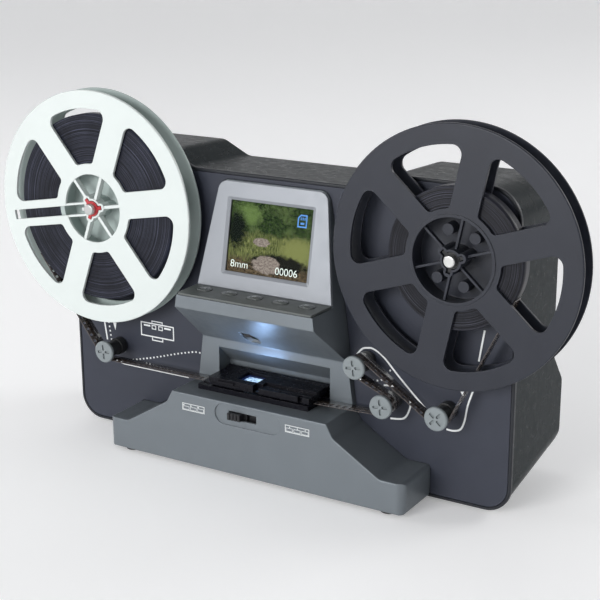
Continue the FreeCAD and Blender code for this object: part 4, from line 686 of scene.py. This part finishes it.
def print_threading_guide():
    """Lines on the front plate that show how the film is laid in."""
    page = Print(on_plate)

    # Off the supply reel, round the first roller and along to the gate.
    page.line([(-114.5, 59), (-113, 49)])
    page.dots([(-111.5, 59.5), (-110, 49)])
    page.polygon([(-108.5, 60), (-107, 55.5), (-106, 60)])
    page.line(curve([(-107.5, 38.5), (-106, 37.5), (-104, 37), (-101, 36.5)]) + [(-57, 36.5)])
    page.dots(curve([(-95, 40), (-80, 44), (-65.5, 48.5), (-56.5, 51), (-52, 52), (-48, 52)]))

    # A small drawing of the gate, the same on both sides of its middle.
    middle = -77.5
    left, right = middle - 3.5, middle + 3.5
    page.line(outline(middle, 59.75, 22, 7.5), 0.7, True)
    page.line([(left, 55.5), (left, 54), (right, 54), (right, 55.5)], THIN)
    page.line([(left, 64), (left, 65), (right, 65), (right, 64)], THIN)
    for side in (-1, 1):
        page.line(outline(middle + side * 2.25, 61.5, 2.5, 2), 0.5, True)
        page.polygon(outline(middle + side * 7, 62, 4.5, 1))

    # From the gate round the three other rollers and up to the take-up reel.
    page.line(curve([(48, 68), (51, 71.5), (54, 72.5), (57.5, 72.5), (63.5, 69), (73, 59.5),
                     (87.5, 46)]))
    page.dots(curve([(50, 55), (61, 56.5), (63.5, 59), (68, 64)]))
    page.line(curve([(63.5, 54.5), (71, 55), (76, 52.5), (78.5, 48.5), (78, 44), (75, 39),
                     (67.5, 37.5)]))
    page.line(curve([(98.5, 38), (102.5, 38), (106, 39.5), (108, 44), (109.5, 52.5),
                     (112, 60.5)]))
    page.polygon([(105.5, 59), (106.5, 57), (108, 59.5)])
    page.line([(107, 58), (106.5, 54)], THIN)
    page.line([(117, 92), (114.5, 76)])
    page.make("threading_lines", "housing", ink_white)


def print_format_signs():
    """Two little film strips beside the format switch, one for each kind of film."""
    page = Print(on_base)
    frames, width, height = 3, 4.6, 3.6
    inset = 0.45
    for left, bottom, hole, shift in ((-40, 31, 0.9, 0.75), (23.5, 31.5, 0.55, 2.5)):
        top = bottom + height
        right = left + frames * width
        page.line([(left, bottom), (right, bottom), (right, top), (left, top)], 0.35, True)
        for i in range(frames):
            x = left + width * i + shift
            page.polygon([(x - hole / 2, top - 1.15), (x + hole / 2, top - 1.15),
                          (x + hole / 2, top - 0.55), (x - hole / 2, top - 0.55)])
            near = left + width * i + inset
            far = near + width - 2 * inset
            page.line([(near, bottom + inset), (far, bottom + inset), (far, top - 1.5),
                       (near, top - 1.5)], 0.25, True)
    page.make("format_signs", "housing", ink_white)


KEY_INK_LIFT = 0.00003     # in m


def print_key_signs():
    """One small generic sign on each key."""
    reach, rise, half = 1.3, 0.9, 0.25
    back = [(reach, rise), (reach, -rise), (-reach, 0.0)]
    onward = [(-reach, rise), (reach, 0.0), (-reach, -rise)]
    bar = [(-reach, half), (-reach, -half), (reach, -half), (reach, half)]
    upright = [(-half, rise), (-half, -rise), (half, -rise), (half, rise)]
    tenth = math.pi / 5
    disc = [(math.cos(i * tenth) * 1.1, math.sin(i * tenth)) for i in range(10)]
    signs = ([back], [bar], [disc], [bar, upright], [onward])
    for index, shapes in enumerate(signs):
        key = f"key_{index + 1}"
        low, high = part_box(key)
        middle = (low + high) / 2

        def on_key(x, y):
            return Vector((middle.x + x * MM, middle.y + y * MM, high.z + KEY_INK_LIFT))

        page = Print(on_key)
        for shape in shapes:
            page.polygon(shape)
        page.make(f"key_sign_{index + 1}", key, ink_grey)


# ---- Lit picture ------------------------------------------------------------------------
# Lengths in mm.
SCREEN_WIDTH = 49.0
SCREEN_HEIGHT = 36.7
SCREEN_FOOT = 9.2          # the picture's lower edge, up from the bezel's foot
SCREEN_BACK = 2.36         # depth of the picture behind the bezel's face
BEZEL_TILT = math.radians(11.2)    # how far the bezel leans back
BEZEL_DEPTH = -12.6        # the bezel's foot, from the front panel's face
BEZEL_HEIGHT = 95.4        # the bezel's foot, up from the front panel's lower edge
LETTER_SIZE = 5.4
LETTER_LIFT = 0.1          # how far the readout lies in front of the picture


def on_screen(x, up, lift=0.0):
    """A place on the picture: x from its middle, up from the bezel's foot, in mm."""
    depth = SCREEN_BACK - lift
    out = depth * math.cos(BEZEL_TILT) + up * math.sin(BEZEL_TILT)
    rise = up * math.cos(BEZEL_TILT) - depth * math.sin(BEZEL_TILT)
    return spot(x, BEZEL_DEPTH + out, BEZEL_HEIGHT + rise)


def picture_look():
    """A summer landscape: trees, a meadow, stones and a dark rock, as a lit picture."""
    graph = Graph("lit_picture")
    uv = graph.add("ShaderNodeUVMap", uv_map="picture").outputs[0]
    split = graph.add("ShaderNodeSeparateXYZ")
    graph.link(uv, split.inputs[0])
    u, v = split.outputs[0], split.outputs[1]

    def blob(middle_u, middle_v, half_u, half_v, soft, scale, ragged):
        """1 inside a ragged patch of the picture, 0 outside."""
        du = graph.maths("DIVIDE", graph.maths("SUBTRACT", u, middle_u), half_u)
        dv = graph.maths("DIVIDE", graph.maths("SUBTRACT", v, middle_v), half_v)
        away = graph.maths("ADD", graph.maths("MULTIPLY", du, du),
                           graph.maths("MULTIPLY", dv, dv))
        wobble = graph.span(graph.noise(scale, 5.0, uv), -ragged, ragged)
        away = graph.maths("ADD", away, wobble)
        return graph.span(away, 1.0, 0.0, 1.0 - soft, 1.0 + soft)

    leaves = graph.noise(30.0, 8.0, uv, 0.75)
    crowns = graph.noise(5.0, 6.0, uv, 0.7)
    blades = graph.noise(1.0, 5.0, graph.scaled((70.0, 14.0, 1.0), uv), 0.7)
    trees = graph.mix(graph.span(leaves, 0.0, 1.0, 0.42, 0.68), (0.003, 0.009, 0.004),
                      (0.075, 0.13, 0.035))
    trees = graph.mix(graph.span(crowns, 0.0, 0.75, 0.50, 0.72), trees, (0.16, 0.22, 0.08))
    meadow = graph.mix(graph.span(blades, 0.0, 1.0, 0.38, 0.66), (0.030, 0.045, 0.012),
                       (0.26, 0.28, 0.10))
    ground = graph.mix(graph.span(graph.noise(34.0, 6.0, uv, 0.7), 0.0, 1.0, 0.40, 0.65),
                       (0.020, 0.016, 0.010), (0.20, 0.145, 0.085))
    ragged = graph.maths("ADD", v, graph.span(graph.noise(9.0, 6.0, uv, 0.7), -0.16, 0.16))
    scene = graph.mix(graph.span(ragged, 0.0, 1.0, 0.52, 0.62), meadow, trees)
    scene = graph.mix(graph.span(ragged, 1.0, 0.0, 0.14, 0.26), scene, ground)
    patches = [
        (0.20, 0.82, 0.16, 0.14, 0.7, 22.0, 1.6, (0.13, 0.20, 0.06)),       # sunlit leaves
        (0.08, 0.60, 0.12, 0.26, 0.6, 22.0, 1.4, (0.004, 0.008, 0.005)),    # deep shade
        (0.84, 0.40, 0.20, 0.16, 0.6, 30.0, 1.4, (0.22, 0.24, 0.08)),       # bright grass
        (0.62, 0.18, 0.34, 0.13, 0.3, 16.0, 1.0, (0.010, 0.011, 0.008)),    # dark rock
    ]
    for *shape, colour in patches:
        scene = graph.mix(blob(*shape), scene, colour)
    stone = graph.mix(graph.span(graph.noise(40.0, 6.0, uv, 0.7), 0.0, 1.0, 0.35, 0.65),
                      (0.13, 0.10, 0.085), (0.42, 0.36, 0.31))
    for shape in ((0.48, 0.15, 0.17, 0.12, 0.15, 13.0, 0.7),
                  (0.40, 0.46, 0.10, 0.060, 0.2, 18.0, 0.9)):
        scene = graph.mix(blob(*shape), scene, stone)
    graph.shader.inputs["Base Color"].default_value = (0.004, 0.004, 0.004, 1.0)
    graph.link(scene, graph.shader.inputs["Emission Color"])
    graph.shader.inputs["Emission Strength"].default_value = 1.05
    graph.shader.inputs["Specular IOR Level"].default_value = 0.0
    graph.shader.inputs["Roughness"].default_value = 0.4
    return graph.material


def make_picture():
    """The lit picture, as a sheet of fine cells just behind the clear cover."""
    columns, rows = 49, 37
    points = []
    for r in range(rows + 1):
        for c in range(columns + 1):
            points.append(on_screen(SCREEN_WIDTH * (c / columns - 0.5),
                                    SCREEN_FOOT + SCREEN_HEIGHT * r / rows))
    faces = []
    for r in range(rows):
        for c in range(columns):
            a = r * (columns + 1) + c
            faces.append((a, a + 1, a + columns + 2, a + columns + 1))
    mesh = mesh_of("lit_picture", points, faces)
    layer = mesh.uv_layers.new(name="picture")
    for loop in mesh.loops:
        r, c = divmod(loop.vertex_index, columns + 1)
        layer.data[loop.index].uv = (c / columns, r / rows)
    piece("lit_picture", mesh, picture_look(), "housing")


def make_readout():
    """Film width, frame counter and card sign laid over the picture."""
    bright = glow("readout_white", (0.72, 0.78, 0.72), 0.55)
    blue = glow("readout_blue", (0.03, 0.18, 0.50), 0.6)
    for name, words, x, up in (("film_width_sign", "8mm", -22.6, 11.6),
                               ("frame_counter", "00006", 4.6, 10.9)):
        font = bpy.data.curves.new(name, "FONT")
        font.body = words
        font.size = LETTER_SIZE
        font.extrude = 0.02
        font.offset = -0.045
        letters = bpy.data.objects.new(name + "_curve", font)
        bpy.context.scene.collection.objects.link(letters)
        bpy.context.view_layer.update()
        mesh = bpy.data.meshes.new_from_object(letters)
        bpy.data.objects.remove(letters)
        for vertex in mesh.vertices:
            co = vertex.co
            vertex.co = on_screen(x + co.x, up + co.y, LETTER_LIFT + co.z)
        mesh.materials.clear()
        piece(name, mesh, bright, "housing")
    card = Print(lambda x, up: on_screen(x, up, LETTER_LIFT))
    left, right, foot, top, cut = 15.6, 20.4, 36.6, 42.4, 1.4
    card.line([(left, foot), (right, foot), (right, top), (left + cut, top), (left, top - cut)],
              0.7, True)
    for i in range(3):
        x = left + 1.6 + i * 1.1
        card.line([(x, top - 2.4), (x, top - 1.0)], 0.5)
    low, high = foot + 1.2, foot + 2.2
    card.polygon([(17.0, low), (19.2, low), (19.2, high), (17.0, high)])
    card.make("card_sign", "housing", blue)


# ---- Window in the gate's door ----------------------------------------------------------
def make_gate_window():
    """Thin pane in the door's opening, with the lamp's light on the frame of film below painted
    on it as a glow.
    """
    sunk, thick = 0.0016, 0.0006
    half_x, half_y, corner = 0.0062, 0.0057, 0.0008
    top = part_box("gate_door")[1].z - sunk
    middle = centre_of("light_diffuser") + Vector((-0.0002, 0.0009, 0.0))
    rim = []
    for sx, sy, start in ((1, 1, 0), (-1, 1, 90), (-1, -1, 180), (1, -1, 270)):
        for step in range(5):
            angle = math.radians(start + 22.5 * step)
            rim.append((sx * (half_x - corner) + corner * math.cos(angle),
                        sy * (half_y - corner) + corner * math.sin(angle)))
    points = [middle.xy.to_3d() + Vector((x, y, top)) for x, y in rim]
    points += [middle.xy.to_3d() + Vector((x, y, top - thick)) for x, y in rim]
    count = len(rim)
    faces = [tuple(range(count)), tuple(range(2 * count - 1, count - 1, -1))]
    faces += [(i, i + count, (i + 1) % count + count, (i + 1) % count) for i in range(count)]
    graph = Graph("gate_window")
    split = graph.add("ShaderNodeSeparateXYZ")
    graph.link(graph.place, split.inputs[0])
    # Painted light: the pane glows blue-white over the gate in place of the lit film beneath, and
    # faintly elsewhere.
    inside = 1.0
    fade = 0.0003
    for axis, reach in ((0, 0.0044), (1, 0.0036)):
        away = graph.maths("ABSOLUTE",
                           graph.maths("SUBTRACT", split.outputs[axis], middle[axis]))
        inside = graph.maths("MULTIPLY", inside,
                             graph.span(away, 1.0, 0.0, reach - fade, reach))
    cloud = graph.span(graph.noise(420.0, 5.0), 0.0, 1.0, 0.40, 0.58)
    shade = graph.mix(cloud, (0.03, 0.08, 0.30), (0.55, 0.80, 1.0))
    tone = graph.mix(inside, (0.006, 0.012, 0.045), shade)
    graph.shader.inputs["Base Color"].default_value = (0.004, 0.005, 0.010, 1.0)
    graph.link(tone, graph.shader.inputs["Emission Color"])
    graph.shader.inputs["Emission Strength"].default_value = 1.3
    graph.link(graph.span(graph.noise(200.0), 0.05, 0.16), graph.shader.inputs["Roughness"])
    piece("gate_window", mesh_of("gate_window", points, faces), graph.material,
          "gate_door")


# ---- Lights and floor -------------------------------------------------------------------
def make_floor():
    """A pale round sweep: level under the machine and curving up far from it."""
    graph = Graph("floor_pale")
    tone = graph.mix(graph.noise(1.3, 3.0), (0.86, 0.86, 0.865), (0.90, 0.90, 0.90))
    graph.link(tone, graph.shader.inputs["Base Color"])
    graph.link(tone, graph.shader.inputs["Emission Color"])
    graph.shader.inputs["Emission Strength"].default_value = 0.26
    graph.link(graph.span(graph.noise(3.0), 0.55, 0.7), graph.shader.inputs["Roughness"])
    turn_in, rise, top = 2.6, 1.6, 3.0
    rings, steps, sides = 8, 14, 96
    profile = [(turn_in * i / rings, 0.0) for i in range(1, rings + 1)]
    for i in range(1, steps + 1):
        angle = math.pi / 2 * i / steps
        profile.append((turn_in + rise * math.sin(angle), rise - rise * math.cos(angle)))
    profile.append((turn_in + rise, top))
    points = [(0.0, 0.0, 0.0)]
    for k in range(sides):
        angle = 2 * math.pi * k / sides
        points += [(r * math.cos(angle), r * math.sin(angle), z) for r, z in profile]
    rows = len(profile)
    faces = []
    for k in range(sides):
        here = 1 + k * rows
        there = 1 + (k + 1) % sides * rows
        faces.append((0, here, there))
        faces += [(here + i, here + i + 1, there + i + 1, there + i) for i in range(rows - 1)]
    mesh = mesh_of("floor", points, faces)
    floor = bpy.data.objects.new("floor", mesh)
    bpy.context.scene.collection.objects.link(floor)
    mesh.materials.append(graph.material)
    for face in mesh.polygons:
        face.use_smooth = True


def soft_light(name, place, target, size, power, tint=(1.0, 1.0, 1.0)):
    """A rectangular lamp that faces the target."""
    data = bpy.data.lights.new(name, "AREA")
    data.shape = "RECTANGLE"
    data.size, data.size_y = size
    data.energy = power
    data.color = tint
    lamp = bpy.data.objects.new(name, data)
    bpy.context.scene.collection.objects.link(lamp)
    away = Vector(place) - Vector(target)
    lamp.matrix_world = (Matrix.Translation(place)
                         @ away.to_track_quat("Z", "Y").to_matrix().to_4x4())


def make_light():
    middle = (0.0, 0.0, 0.09)
    soft_light("key", (-0.40, -1.75, 0.58), middle, (0.9, 0.7), 23.0)
    soft_light("left_fill", (-1.7, -0.5, 0.7), middle, (0.8, 0.6), 5.0)
    soft_light("top", (-0.3, 0.5, 1.7), middle, (1.2, 0.8), 3.0)
    soft_light("rear_fill", (1.35, 1.6, 1.0), middle, (1.0, 0.8), 14.0)
    soft_light("lamp_glow", tuple(spot(-9.0, -15.0, 52.0)), tuple(spot(-5.0, -8.0, 75.0)),
               (0.012, 0.008), 0.006, (0.38, 0.60, 1.0))
    world = bpy.data.worlds.new("studio")
    world.use_nodes = True
    background = world.node_tree.nodes["Background"]
    background.inputs[0].default_value = (0.93, 0.95, 1.0, 1.0)
    background.inputs[1].default_value = 0.20
    bpy.context.scene.world = world
    bpy.context.scene.view_settings.view_transform = "Standard"


make_film()
make_winding("supply", "supply_reel", (0.0050, 0.0055, 0.0085))
make_winding("takeup", "takeup_reel", (0.0045, 0.0047, 0.0065))
print_threading_guide()
print_format_signs()
print_key_signs()
make_picture()
make_readout()
make_gate_window()
make_floor()
make_light()
